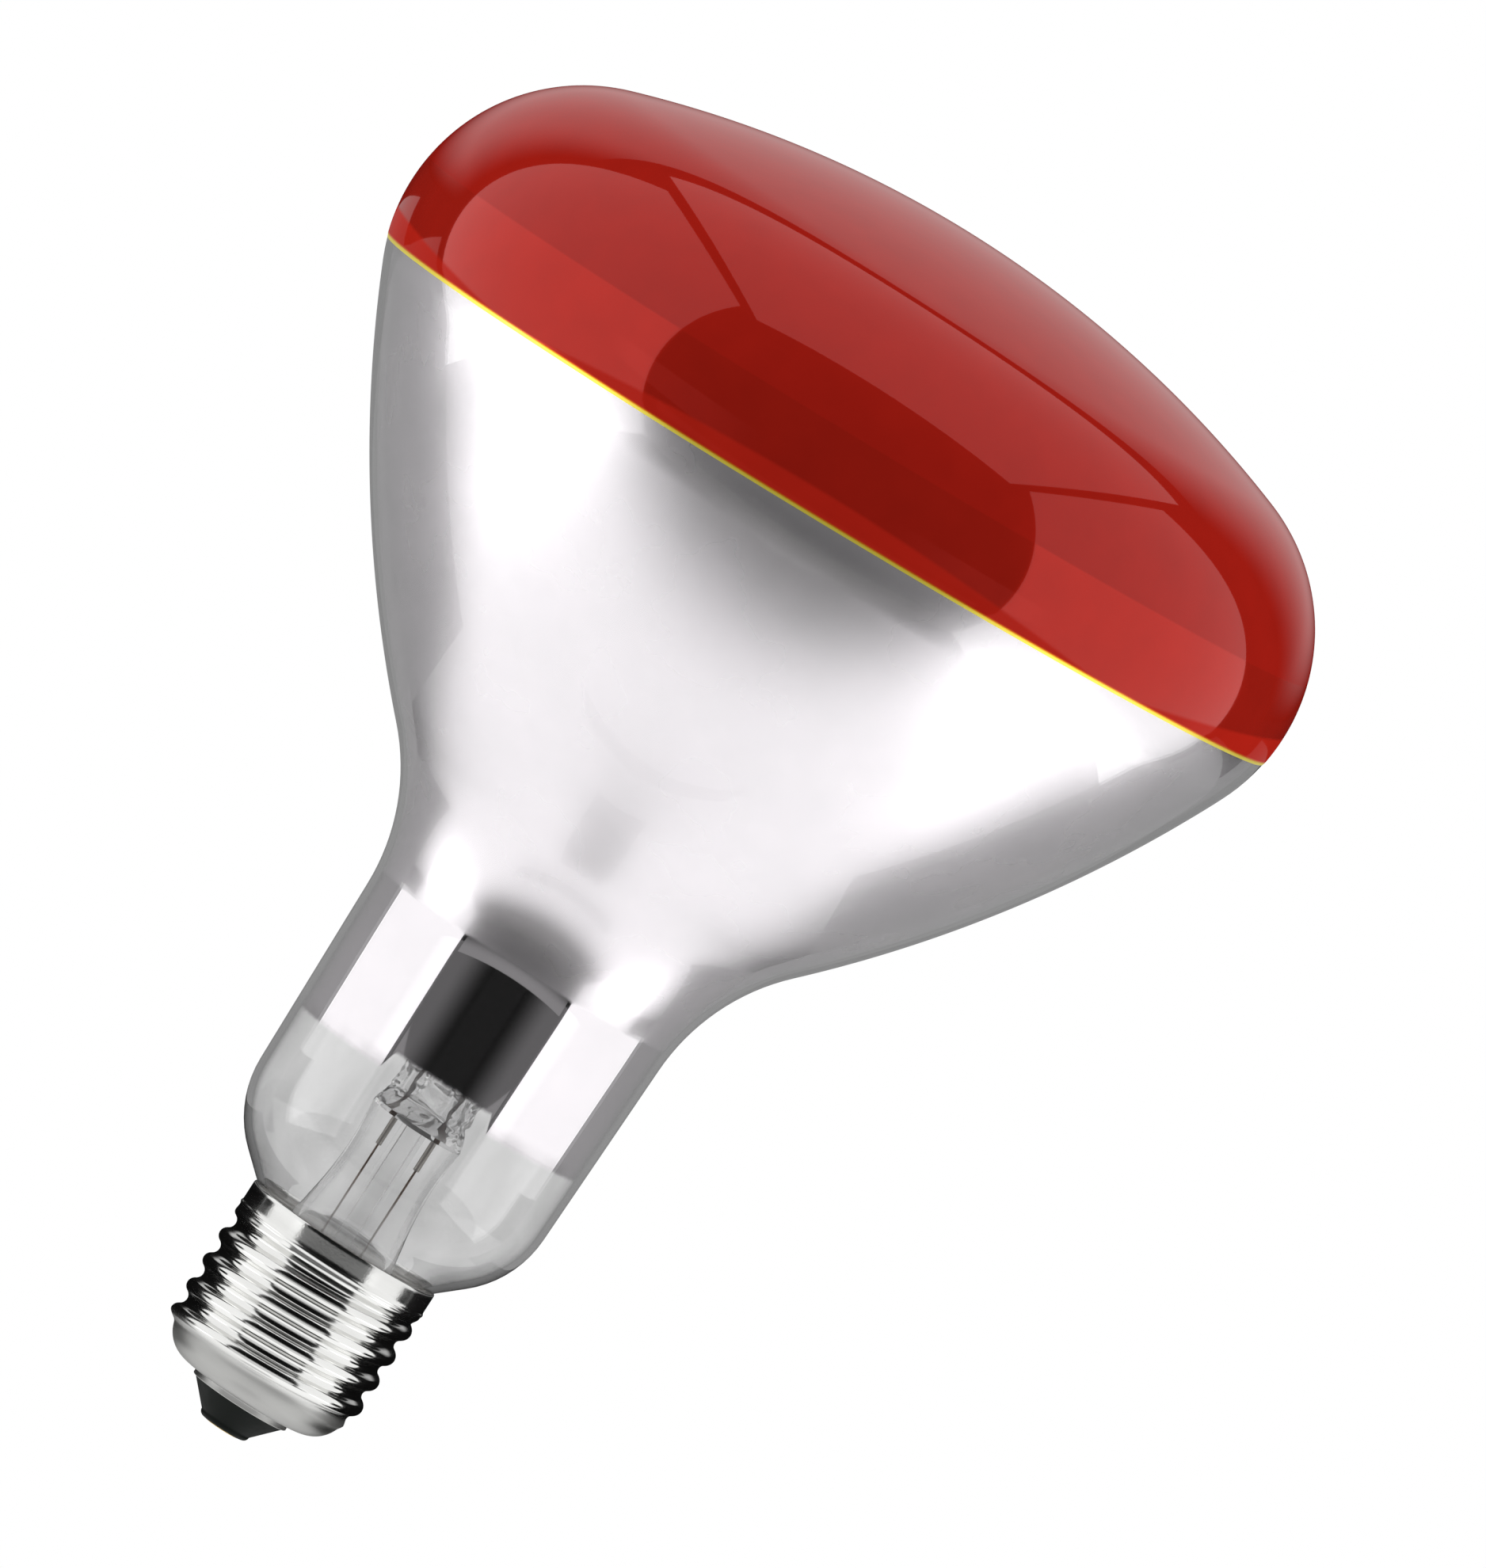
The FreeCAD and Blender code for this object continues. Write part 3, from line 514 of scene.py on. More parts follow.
# Lead glass in the pinch: bends the view strongly, so that the crinkles show
PINCH_GLASS = BlownGlass(
    "pinched_lead_glass", "#FFFFFF", "#F4F4F4", 1.6, 3.0, 0.5, NO_TOP_MM, transmission=0.75,
    foot_transmission=0.75,
)
# Drawn glass cane: clear and bright
CANE_GLASS = BlownGlass("drawn_cane_glass", "#FEFEFE", "#F6F6F6", 1.5, 3.0, 0.2, NO_TOP_MM)


def eased(share: float) -> float:
    """A share from 0 to 1 that starts and stops softly."""
    return share * share * (3 - 2 * share)


def arc(start: Ring, end: Ring, radius: float, bow: Bow, spacing: float) -> Outline:
    """Points of an arc after its start, up to and with its end.

    Args:
        start: the first point, radius and height.
        end: the last point.
        radius: the arc's radius.
        bow: the side of its direction to which it bows.
        spacing: the length along the arc from point to point.

    Returns:
        The points in order.
    """
    across, up = end[0] - start[0], end[1] - start[1]
    chord = math.hypot(across, up)
    depth = math.sqrt(max(radius ** 2 - (chord / 2) ** 2, 0.0)) * bow.value
    x = (start[0] + end[0]) / 2 + up / chord * depth
    z = (start[1] + end[1]) / 2 - across / chord * depth
    first = math.atan2(start[1] - z, start[0] - x)
    sweep = -2 * math.asin(min(chord / 2 / radius, 1.0)) * bow.value
    count = max(4, math.ceil(abs(sweep) * radius / spacing))
    angles = [first + sweep * k / count for k in range(1, count)]
    return [(x + radius * math.cos(angle), z + radius * math.sin(angle)) for angle in angles] + [end]


def run(start: Ring, end: Ring, spacing: float) -> Outline:
    """Points of a straight run after its start, up to and with its end.

    Args:
        start: the point before the run, radius and height.
        end: the last point.
        spacing: the greatest length from point to point.

    Returns:
        The points in order.
    """
    count = max(1, math.ceil(math.dist(start, end) / spacing))
    across, up = end[0] - start[0], end[1] - start[1]
    return [(start[0] + across * k / count, start[1] + up * k / count) for k in range(1, count + 1)]


def linked(name: str, data: Any) -> bpy.types.Object:
    """Put data in the scene as a new object at the origin.

    Args:
        name: the new object's name.
        data: its mesh, lamp or camera.

    Returns:
        The object.
    """
    item = bpy.data.objects.new(name, data)
    bpy.context.scene.collection.objects.link(item)
    return item


def placed(name: str, data: bpy.types.Mesh) -> bpy.types.Object:
    """Put a mesh in the scene, smooth but for its sharp edges.

    Args:
        name: the new object's name.
        data: the mesh.

    Returns:
        The object.
    """
    data.shade_smooth()
    data.set_sharp_from_angle(angle=SHARP_ANGLE)
    return linked(name, data)


def as_object(name: str, mesh: bmesh.types.BMesh) -> bpy.types.Object:
    """Turn a mesh in the making into an object with outward faces.

    Args:
        name: the new object's name.
        mesh: the mesh, which is freed.

    Returns:
        The object, linked to the scene.
    """
    bmesh.ops.recalc_face_normals(mesh, faces=mesh.faces)
    if mesh.calc_volume(signed=True) < 0:
        bmesh.ops.reverse_faces(mesh, faces=mesh.faces)
    data = bpy.data.meshes.new(name)
    mesh.to_mesh(data)
    mesh.free()
    return placed(name, data)


def bridged(
    mesh: bmesh.types.BMesh, low: list[bmesh.types.BMVert], high: list[bmesh.types.BMVert]
) -> list[bmesh.types.BMFace]:
    """Join two rings of points with faces, where a ring of one point is a pole.

    Args:
        mesh: the mesh that holds the points.
        low: the first ring.
        high: the second ring.

    Returns:
        The new faces, none between two poles.
    """
    steps = max(len(low), len(high))
    faces = []
    for k in range(steps if steps > 1 else 0):
        following = (k + 1) % steps
        corners = [low[k % len(low)], low[following % len(low)]]
        corners += [high[following % len(high)], high[k % len(high)]]
        faces.append(mesh.faces.new(list(dict.fromkeys(corners))))
    return faces


def swept(name: str, section: Outline | Callable[[float], Outline], steps: int) -> bpy.types.Object:
    """Carry a closed half section about the lamp's axis, where it may change with the angle.

    Args:
        name: the new object's name.
        section: the outline, or what gives it at an angle in radians, always with as many points.
        steps: how many places round the axis.

    Returns:
        An object with a closed mesh, smooth shaded, at the origin.
    """
    mesh = bmesh.new()
    angles = [2 * math.pi * k / steps for k in range(steps)]
    sections = [section(angle) if callable(section) else section for angle in angles]
    rings = []
    for row, (radius, height) in enumerate(sections[0]):
        if radius < 1e-9:
            rings.append([mesh.verts.new((0.0, 0.0, height * MM))])
            continue
        ring = []
        for angle, outline in zip(angles, sections):
            r, z = outline[row]
            ring.append(mesh.verts.new((r * math.cos(angle) * MM, r * math.sin(angle) * MM, z * MM)))
        rings.append(ring)
    for low, high in zip(rings, rings[1:] + rings[:1]):
        bridged(mesh, low, high)
    return as_object(name, mesh)


def hand_over(piece: bpy.types.Object, slot: str, *nodes: str) -> None:
    """Let a finished piece ride on the lamp in place of the solids that it stands for.

    Args:
        piece: the finished piece.
        slot: a material slot's name, which is not used.
        nodes: the names of the solids.
    """
    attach(piece, BODY)
    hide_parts(*nodes)
    LOG.info("%s: %d faces, for %s", piece.name, len(piece.data.polygons), ", ".join(nodes))


def dress(piece: bpy.types.Object, material: bpy.types.Material, slot: str, node: str) -> None:
    """Give a piece its material and hand it over for one solid."""
    piece.data.materials.append(material)
    hand_over(piece, slot, node)


@dataclass
class NodeShape:
    """A Geometry Nodes tree with named sizes, which turns a path or a blank into a finished mesh."""

    name: str
    sizes: dict[str, float]
    material: bpy.types.Material
    tree: bpy.types.NodeTree = field(init=False)
    add: Callable[..., bpy.types.Node] = field(init=False)
    size: Any = field(init=False)

    def __post_init__(self) -> None:
        """Make the tree with one geometry input and one input for each size."""
        self.tree = bpy.data.node_groups.new(self.name, "GeometryNodeTree")
        face = self.tree.interface
        face.new_socket("Geometry", in_out="INPUT", socket_type="NodeSocketGeometry")
        face.new_socket("Geometry", in_out="OUTPUT", socket_type="NodeSocketGeometry")
        for size in self.sizes:
            face.new_socket(size, in_out="INPUT", socket_type="NodeSocketFloat")
        self.add = partial(add_node, self.tree)
        self.size = self.add("NodeGroupInput").outputs

    def wire(self, path: bpy.types.Node, radius: str, sides: int) -> bpy.types.Node:
        """Follow a curve with a round wire.

        Args:
            path: the node of the curve.
            radius: the name of the size that is the wire's radius.
            sides: how many sides the wire has.

        Returns:
            The node of the wire's mesh.
        """
        circle = {"Resolution": sides, "Radius": self.size[radius]}
        ring = self.add("GeometryNodeCurvePrimitiveCircle", circle)
        return self.add("GeometryNodeCurveToMesh", {"Curve": path, "Profile Curve": ring, "Fill Caps": True})

    def end_with(self, geometry: bpy.types.Node) -> None:
        """Close the tree: realise what is instanced and give it its material.

        Args:
            geometry: the node of the finished geometry.
        """
        solid = self.add("GeometryNodeRealizeInstances", {"Geometry": geometry})
        dressed = self.add("GeometryNodeSetMaterial", {"Geometry": solid, "Material": self.material})
        self.add("NodeGroupOutput", dressed)

    def made_from(self, blank: bpy.types.Object, name: str) -> bpy.types.Object:
        """Run the tree on a blank and keep the result as a plain mesh.

        Args:
            blank: the object that the tree starts from, which is removed.
            name: the new object's name.

        Returns:
            The finished object.
        """
        modifier = blank.modifiers.new(self.name, "NODES")
        modifier.node_group = self.tree
        for socket in self.tree.interface.items_tree:
            if socket.in_out == "INPUT" and socket.name in self.sizes:
                modifier[socket.identifier] = self.sizes[socket.name]
        view = bpy.context.evaluated_depsgraph_get()
        view.update()
        data = bpy.data.meshes.new_from_object(blank.evaluated_get(view))
        data.name = name
        blank.modifiers.remove(modifier)
        bpy.data.objects.remove(blank)
        return placed(name, data)


def polyline(points: Sequence[Vector]) -> bpy.types.Object:
    """A path of plain edges, for a tree to follow.

    Args:
        points: its points in millimetres.

    Returns:
        The path as an object.
    """
    data = bpy.data.meshes.new("path")
    edges = [(k, k + 1) for k in range(len(points) - 1)]
    data.from_pydata([point * MM for point in points], edges, [])
    return linked("path", data)


def wire_shape(name: str, radius_mm: float, bend_mm: float, material: bpy.types.Material) -> NodeShape:
    """The tree of a round wire that follows a path, with its corners bent round.

    Args:
        name: the tree's name.
        radius_mm: the wire's radius.
        bend_mm: the radius of its bends.
        material: its finish.

    Returns:
        The tree, ready to run on a path.
    """
    shape = NodeShape(name, {"Radius": radius_mm * MM, "Bend": bend_mm * MM}, material)
    path = shape.add("GeometryNodeMeshToCurve", shape.size["Geometry"])
    bends = {"Curve": path, "Radius": shape.size["Bend"], "Count": BEND_POINTS, "Limit Radius": True}
    bent = shape.add("GeometryNodeFilletCurve", bends, mode="POLY")
    shape.end_with(shape.wire(bent, "Radius", WIRE_SIDES))
    return shape


@dataclass
class Bulb:
    """The blown bulb with its mirror film and its lacquer, all turned from one chain of tangent arcs."""

    bulb_radius: float = 62.5
    equator_height: float = 140.0
    shoulder_radius: float = 24.3
    shoulder_sweep: float = 24.7
    dome_radius: float = 139.4
    reflector_radius: float = 166.7
    throat_radius: float = 27.3
    neck_radius: float = 20.7
    neck_height: float = 53.7
    neck_taper: float = 1.33
    foot_radius: float = 13.7
    foot_slope: float = 41.5
    stub_radius: float = 11.0
    glass_foot_height: float = 19.5
    rim_glass_radius: float = 12.58
    rim_height: float = 27.6
    wall: float = 0.9
    film_gap: float = 0.02
    film: float = 0.06
    lacquer: float = 0.06
    feather: float = 0.5
    mirror_height: float = 48.0
    mirror_lap: float = 10.9
    paint_height: float = 134.3
    paint_tilt: float = 0.0288
    steps: int = 192
    shoulder_rows: int = 40
    spacing: float = 1.3

    def corners(self, inset: float) -> Outline:
        """The joins of the bulb's arcs from foot to apex, at a depth below the outside.

        Args:
            inset: the depth in millimetres, below zero for a skin on the outside.

        Returns:
            Nine corners as radius and height.
        """
        centre = self.bulb_radius - self.shoulder_radius
        reach = self.dome_radius - self.shoulder_radius
        drop = math.sqrt(reach ** 2 - centre ** 2)
        sweep = math.radians(self.shoulder_sweep)
        length = self.reflector_radius - self.shoulder_radius
        bowl = (centre - length * math.cos(sweep), self.equator_height + length * math.sin(sweep))
        taper = math.radians(self.neck_taper)
        away = (bowl[0] - self.neck_radius) * math.cos(taper)
        away -= (bowl[1] - self.neck_height) * math.sin(taper)
        span = self.reflector_radius + self.throat_radius
        turn = math.acos((self.throat_radius - away) / span) + taper
        throat = (bowl[0] + span * math.cos(turn), bowl[1] - span * math.sin(turn))
        slope = math.radians(self.foot_slope)
        neck = self.neck_radius * math.cos(taper) - self.neck_height * math.sin(taper) - self.foot_radius
        cone = self.rim_glass_radius * math.sin(slope) - self.rim_height * math.cos(slope) - self.foot_radius
        whole = math.sin(slope) * math.sin(taper) - math.cos(taper) * math.cos(slope)
        foot = (
            (cone * math.sin(taper) - neck * math.cos(slope)) / whole,
            (cone * math.cos(taper) - neck * math.sin(slope)) / whole,
        )
        stub = self.stub_radius - inset
        rise = (inset + (stub - self.rim_glass_radius) * math.sin(slope)) / math.cos(slope)
        shoulder = self.shoulder_radius - inset
        wide = self.throat_radius + inset
        deep = self.reflector_radius - inset
        round_foot = self.foot_radius - inset
        return [
            (stub, self.glass_foot_height),
            (stub, self.rim_height + rise),
            (foot[0] + round_foot * math.sin(slope), foot[1] - round_foot * math.cos(slope)),
            (foot[0] + round_foot * math.cos(taper), foot[1] - round_foot * math.sin(taper)),
            (throat[0] - wide * math.cos(taper), throat[1] + wide * math.sin(taper)),
            (bowl[0] + deep * math.cos(turn), bowl[1] - deep * math.sin(turn)),
            (centre + shoulder * math.cos(sweep), self.equator_height - shoulder * math.sin(sweep)),
            (centre + shoulder * centre / reach, self.equator_height + shoulder * drop / reach),
            (0.0, self.equator_height - drop + self.dome_radius - inset),
        ]

    def reflector(self, c: Outline, inset: float) -> Outline:
        """The throat and the reflector after the neck's top, at a depth, from the bulb's corners there."""
        points = arc(c[4], c[5], self.throat_radius + inset, Bow.LEFT, self.spacing)
        return points + arc(c[5], c[6], self.reflector_radius - inset, Bow.RIGHT, self.spacing)

    def dome(self, c: Outline, inset: float) -> Outline:
        """The face after the shoulder, at a depth, from the bulb's corners there."""
        return arc(c[7], c[8], self.dome_radius - inset, Bow.RIGHT, self.spacing)

    def outline(self, inset: float) -> Outline:
        """All points of the bulb's section from foot to apex.

        Args:
            inset: the depth below the outside.

        Returns:
            The points in order.
        """
        c = self.corners(inset)
        points = [c[0]]
        points += run(c[0], c[1], self.spacing)
        points += run(c[1], c[2], self.spacing)
        points += arc(c[2], c[3], self.foot_radius - inset, Bow.RIGHT, self.spacing)
        points += run(c[3], c[4], self.spacing)
        points += self.reflector(c, inset)
        points += arc(c[6], c[7], self.shoulder_radius - inset, Bow.RIGHT, self.spacing)
        return points + self.dome(c, inset)

    def shoulder_point(self, height: float, inset: float) -> Ring:
        """The point of the shoulder's arc at one height.

        Args:
            height: the height above the contact's tip.
            inset: the depth below the outside.

        Returns:
            Its radius and height.
        """
        reach = self.shoulder_radius - inset
        centre = self.bulb_radius - self.shoulder_radius
        return centre + math.sqrt(reach ** 2 - (height - self.equator_height) ** 2), height

    def line_height(self, angle: float) -> float:
        """The height of the paint line, which lies a little askew, at one angle."""
        return self.paint_height + self.paint_tilt * self.bulb_radius * math.cos(angle)

    def film_side(self, angle: float, inset: float) -> Outline:
        """One side of the film from its low edge to its lap behind the lacquer.

        Args:
            angle: the angle about the axis.
            inset: the depth below the outside.

        Returns:
            The points in order.
        """
        c = self.corners(inset)
        share = (self.mirror_height - c[3][1]) / (c[4][1] - c[3][1])
        low = (c[3][0] + (c[4][0] - c[3][0]) * share, self.mirror_height)
        top = self.shoulder_point(self.line_height(angle) + self.mirror_lap, inset)
        points = [low] + run(low, c[4], self.spacing) + self.reflector(c, inset)
        return points + arc(c[6], top, self.shoulder_radius - inset, Bow.RIGHT, FEWEST)

    def film_section(self, angle: float) -> Outline:
        """The film's whole section at one angle."""
        depth = self.wall + self.film_gap
        return self.film_side(angle, depth) + self.film_side(angle, depth + self.film)[::-1]

    def lacquer_side(self, line: float, inset: float) -> Outline:
        """One side of the lacquer from above the paint line to the apex.

        Args:
            line: the height of the paint line.
            inset: the depth below the outside, which is below zero.

        Returns:
            The points in order.
        """
        c = self.corners(inset)
        shoulder = self.shoulder_radius - inset
        centre = self.bulb_radius - self.shoulder_radius
        start = math.asin((line + self.feather - self.equator_height) / shoulder)
        end = math.asin((c[7][1] - self.equator_height) / shoulder)
        points = []
        for k in range(self.shoulder_rows):
            swing = start + (end - start) * k / self.shoulder_rows
            points.append((
                centre + shoulder * math.cos(swing),
                self.equator_height + shoulder * math.sin(swing),
            ))
        return points + [c[7]] + self.dome(c, inset)

    def lacquer_section(self, angle: float) -> Outline:
        """The lacquer's whole section, feathered to nothing at the paint line.

        Args:
            angle: the angle about the axis.

        Returns:
            The points in order.
        """
        line = self.line_height(angle)
        skin = self.lacquer_side(line, -self.film_gap - self.lacquer)
        base = self.lacquer_side(line, -self.film_gap)
        return [self.shoulder_point(line, -self.film_gap)] + skin + base[::-1]

    def build(self) -> None:
        """Make the glass, the film and the lacquer, and dress each."""
        section = self.outline(0.0) + self.outline(self.wall)[::-1]
        glass = swept("blown_glass", section, self.steps)
        dress(glass, BlownGlass().material(), "bulb_glass", "glass_bulb")
        film = swept("reflector_film", self.film_section, self.steps)
        dress(film, MirrorFilm().material(), "mirror_film", "mirror_coat")
        lacquer = swept("face_lacquer", self.lacquer_section, self.steps)
        dress(lacquer, RedLacquer().material(), "red_lacquer", "red_coat")


@dataclass
class ScrewCap:
    """The screw cap: a drawn cup with a rolled thread, black glass in its end, and the contact's eyelet."""

    crest_radius: float = 13.15
    pitch: float = 3.629
    round: float = 1.025
    first_crest: float = 9.14
    run_in: float = 1.7
    run_in_rows: int = 14
    skirt_radius: float = 12.93
    skirt_height: float = 24.2
    rim_height: float = 27.6
    rim_dressing: float = 0.2
    rim_side: float = 0.04
    rim_drop: float = 0.06
    rim_cut: float = 0.12
    sheet: float = 0.3
    bowl_height: float = 4.75
    bowl_round: float = 4.2
    collar_radius: float = 6.6
    collar_height: float = 3.9
    collar_round: float = 0.25
    collar_chamfer: float = 0.08
    bead: float = 0.14
    bead_rise: float = 0.45
    bead_half: float = 0.4
    bead_rows: int = 4
    tip_radius: float = 3.4
    tip_round: float = 0.7
    inner_height: float = 7.4
    land: float = 1.2
    contact_radius: float = 2.4
    contact_proud: float = 0.1
    contact_thickness: float = 0.4
    contact_chamfer: float = 0.12
    pocket_lip: float = 0.05
    pocket_chamfer: float = 0.08
    eyelet_radius: float = 1.3
    eyelet_height: float = 8.4
    solder_radius: float = 0.8
    solder_height: float = 2.0
    solder_round: float = 2.7
    weld_lumps: float = 0.08
    weld_lump_scale: float = 1500
    seat: float = 0.01
    clearance: float = 0.02
    steps: int = 192
    end_steps: int = 96
    drop_steps: int = 64

    def thread_depth(self) -> float:
        """The height of the thread's crest above its root, from its two tangent rounds."""
        return 2 * (self.round - math.sqrt(self.round ** 2 - (self.pitch / 4) ** 2))

    def blank_side(self, depth: float) -> Outline:
        """One side of the drawn cup before its thread is rolled, from the bowl's floor to the rim.

        Args:
            depth: the depth below the outside.

        Returns:
            The points in order.
        """
        root = self.crest_radius - self.thread_depth() - depth
        turn = self.bowl_height + self.bowl_round
        skirt = self.skirt_radius - depth
        points = [(root - self.bowl_round + depth, self.bowl_height + depth)]
        points += arc(points[0], (root, turn), self.bowl_round - depth, Bow.RIGHT, 0.2)
        points += run((root, turn), (root, self.skirt_height - self.run_in), 0.15)
        for k in range(1, self.run_in_rows + 1):
            share = k / self.run_in_rows
            height = self.skirt_height - self.run_in * (1 - share)
            points.append((root + (skirt - root) * eased(share), height))
        middle = self.skirt_height + self.bead_rise
        for k in range(1, 2 * self.bead_rows + 1):
            away = (k - self.bead_rows) / self.bead_rows
            proud = self.bead * (1 + math.cos(math.pi * away)) / 2
            points.append((skirt + proud, middle + away * self.bead_half))
        top = (skirt, self.rim_height - self.rim_dressing)
        return points + run((skirt, middle + self.bead_half), top, 0.4)

    def blank_section(self) -> Outline:
        """The drawn cup's whole section, with its turned-down collar and its dressed rim.

        Returns:
            The points in order.
        """
        hole = self.collar_radius - self.sheet
        cut = self.collar_chamfer
        low = [
            (hole, self.bowl_height + self.sheet),
            (hole, self.collar_height + cut),
            (hole + cut, self.collar_height),
            (self.collar_radius - cut, self.collar_height),
            (self.collar_radius, self.collar_height + cut),
            (self.collar_radius, self.bowl_height - self.collar_round),
        ]
        bowl = (self.collar_radius + self.collar_round, self.bowl_height)
        low += arc(low[-1], bowl, self.collar_round, Bow.LEFT, 0.08)
        rim = [
            (self.skirt_radius - self.rim_side, self.rim_height - self.rim_drop),
            (self.skirt_radius - self.rim_cut, self.rim_height),
            (self.skirt_radius - self.sheet + self.rim_drop, self.rim_height),
        ]
        return low + self.blank_side(0.0) + rim + self.blank_side(self.sheet)[::-1]

    def rolled_thread(self, material: bpy.types.Material) -> NodeShape:
        """The tree that rolls the thread into the cup: two tangent rounds along a right-hand helix.

        Args:
            material: the shell's finish.

        Returns:
            The tree, ready to run on the cup.
        """
        shape = NodeShape("rolled_thread", {
            "Pitch": self.pitch * MM,
            "Round": self.round * MM,
            "Depth": self.thread_depth() * MM,
            "First Crest": self.first_crest * MM,
            "Run In": self.run_in * MM,
            "Thread End": self.skirt_height * MM,
        }, material)
        add, size = shape.add, shape.size
        where = add("GeometryNodeInputPosition")
        axes = add("ShaderNodeSeparateXYZ", where).outputs
        angle = add(MATH, axes["Y"], axes["X"], operation="ARCTAN2")
        share = add(MATH, angle, math.tau, operation="DIVIDE")
        above = add(MATH, axes["Z"], size["First Crest"], operation="SUBTRACT")
        climb = add(MATH, above, size["Pitch"], operation="DIVIDE")
        # The cut of the fraction lies in a root, and the crest at its middle
        turns = add(MATH, climb, share, operation="SUBTRACT")
        part = add(MATH, turns, operation="FRACT")
        centred = add(MATH, part, 0.5, operation="SUBTRACT")
        off_crest = add(MATH, centred, operation="ABSOLUTE")
        away = add(MATH, off_crest, size["Pitch"], operation="MULTIPLY")
        half = add(MATH, size["Pitch"], 0.5, operation="MULTIPLY")
        off_root = add(MATH, half, away, operation="SUBTRACT")
        squared = add(MATH, size["Round"], size["Round"], operation="MULTIPLY")
        bows = []
        for distance in (away, off_root):
            reach = add(MATH, distance, distance, operation="MULTIPLY")
            left = add(MATH, squared, reach, operation="SUBTRACT")
            root = add(MATH, left, operation="SQRT")
            bows.append(add(MATH, size["Round"], root, operation="SUBTRACT"))
        crest = add(MATH, size["Depth"], bows[0], operation="SUBTRACT")
        on_root = add(MATH, away, off_root, operation="GREATER_THAN")
        rise = add(MIX, {0: on_root, 2: crest, 3: bows[1]})
        start = add(MATH, size["First Crest"], size["Run In"], operation="SUBTRACT")
        stop = add(MATH, size["Thread End"], size["Run In"], operation="SUBTRACT")
        for ends in ((start, size["First Crest"], 0.0, 1.0), (stop, size["Thread End"], 1.0, 0.0)):
            ease = add(RANGE, axes["Z"], *ends, **SMOOTH)
            rise = add(MATH, rise, ease, operation="MULTIPLY")
        level = add(VECTOR, where, LEVEL, operation="MULTIPLY")
        outward = add(VECTOR, level, operation="NORMALIZE")
        push = add(VECTOR, {0: outward, "Scale": rise}, operation="SCALE")
        shape.end_with(add("GeometryNodeSetPosition", {"Geometry": size["Geometry"], "Offset": push}))
        return shape

    def insulator_section(self) -> Outline:
        """The black glass from the eyelet's seat round its tip and up inside the cup.

        Returns:
            The points in order.
        """
        hole = self.collar_radius - self.sheet - self.seat
        under = self.tip_radius - self.tip_round
        floor = self.bowl_height + self.sheet + self.seat
        bore = self.eyelet_radius + self.clearance
        pocket = self.contact_radius + self.clearance
        ledge = self.contact_thickness + self.clearance
        points = [
            (bore, ledge),
            (pocket, ledge),
            (pocket, self.contact_proud + self.pocket_lip),
            (self.contact_radius + self.pocket_chamfer, self.contact_proud),
            (under, self.contact_proud),
        ]
        tip = (self.tip_radius, self.contact_proud + self.tip_round)
        points += arc(points[-1], tip, self.tip_round, Bow.RIGHT, 0.1)
        points += run(points[-1], (hole, self.collar_height), 0.3)
        points += run(points[-1], (hole, floor), 0.3)
        points += [(hole + self.land, floor), (hole + self.land, self.inner_height)]
        return points + [(bore, self.inner_height)]

    def eyelet_section(self) -> Outline:
        """The contact's flange and its tube.

        Returns:
            The points in order.
        """
        cut = self.contact_chamfer
        return [
            (self.solder_radius, cut),
            (self.solder_radius + cut, 0.0),
            (self.contact_radius - cut, 0.0),
            (self.contact_radius, cut),
            (self.contact_radius, self.contact_thickness),
            (self.eyelet_radius, self.contact_thickness),
            (self.eyelet_radius, self.eyelet_height),
            (self.solder_radius, self.eyelet_height),
        ]

    def drop_section(self) -> Outline:
        """The solder drop that closes the eyelet.

        Returns:
            The points in order.
        """
        reach = self.solder_radius - self.seat
        points = [(0.0, 0.0)]
        points += arc(points[0], (reach, self.contact_chamfer), self.solder_round, Bow.RIGHT, 0.1)
        return points + [(reach, self.solder_height), (0.0, self.solder_height)]

    def rim_weld(self) -> bpy.types.Object:
        """The lumpy solder drop on the shell's rim, as large as its solid.

        Returns:
            The drop.
        """
        low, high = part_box("side_solder")
        bead = bmesh.new()
        bmesh.ops.create_icosphere(bead, subdivisions=4, radius=(high.z - low.z) / 2)
        for vertex in bead.verts:
            vertex.co *= 1 + self.weld_lumps * noise.noise(vertex.co * self.weld_lump_scale)
        bmesh.ops.translate(bead, verts=bead.verts, vec=(low + high) / 2)
        return as_object("rim_solder", bead)

    def build(self, cement: bpy.types.Object) -> None:
        """Make the shell, the black glass, the eyelet and its solder, and dress the cement.

        Args:
            cement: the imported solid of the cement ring, which keeps its shape.
        """
        blank = swept("drawn_cup", self.blank_section(), self.steps)
        shell = self.rolled_thread(NickelPlate().material()).made_from(blank, "screw_shell")
        hand_over(shell, "nickel_plate", "cap_shell")
        insulator = swept("black_glass_end", self.insulator_section(), self.end_steps)
        dress(insulator, BLACK_GLASS.material(), "black_glass", "cap_insulator")
        eyelet = swept("contact_eyelet", self.eyelet_section(), self.end_steps)
        dress(eyelet, CONTACT_BRASS.material(), "contact_brass", "centre_contact")
        solder = TIN_SOLDER.material()
        drop = swept("eyelet_solder", self.drop_section(), self.drop_steps)
        dress(drop, solder, "solder", "centre_solder")
        dress(self.rim_weld(), solder, "solder", "side_solder")
        cement.data.materials.clear()
        cement.data.materials.append(BAKED_CEMENT.material())
        LOG.info("%s keeps its packed shape", cement.name)


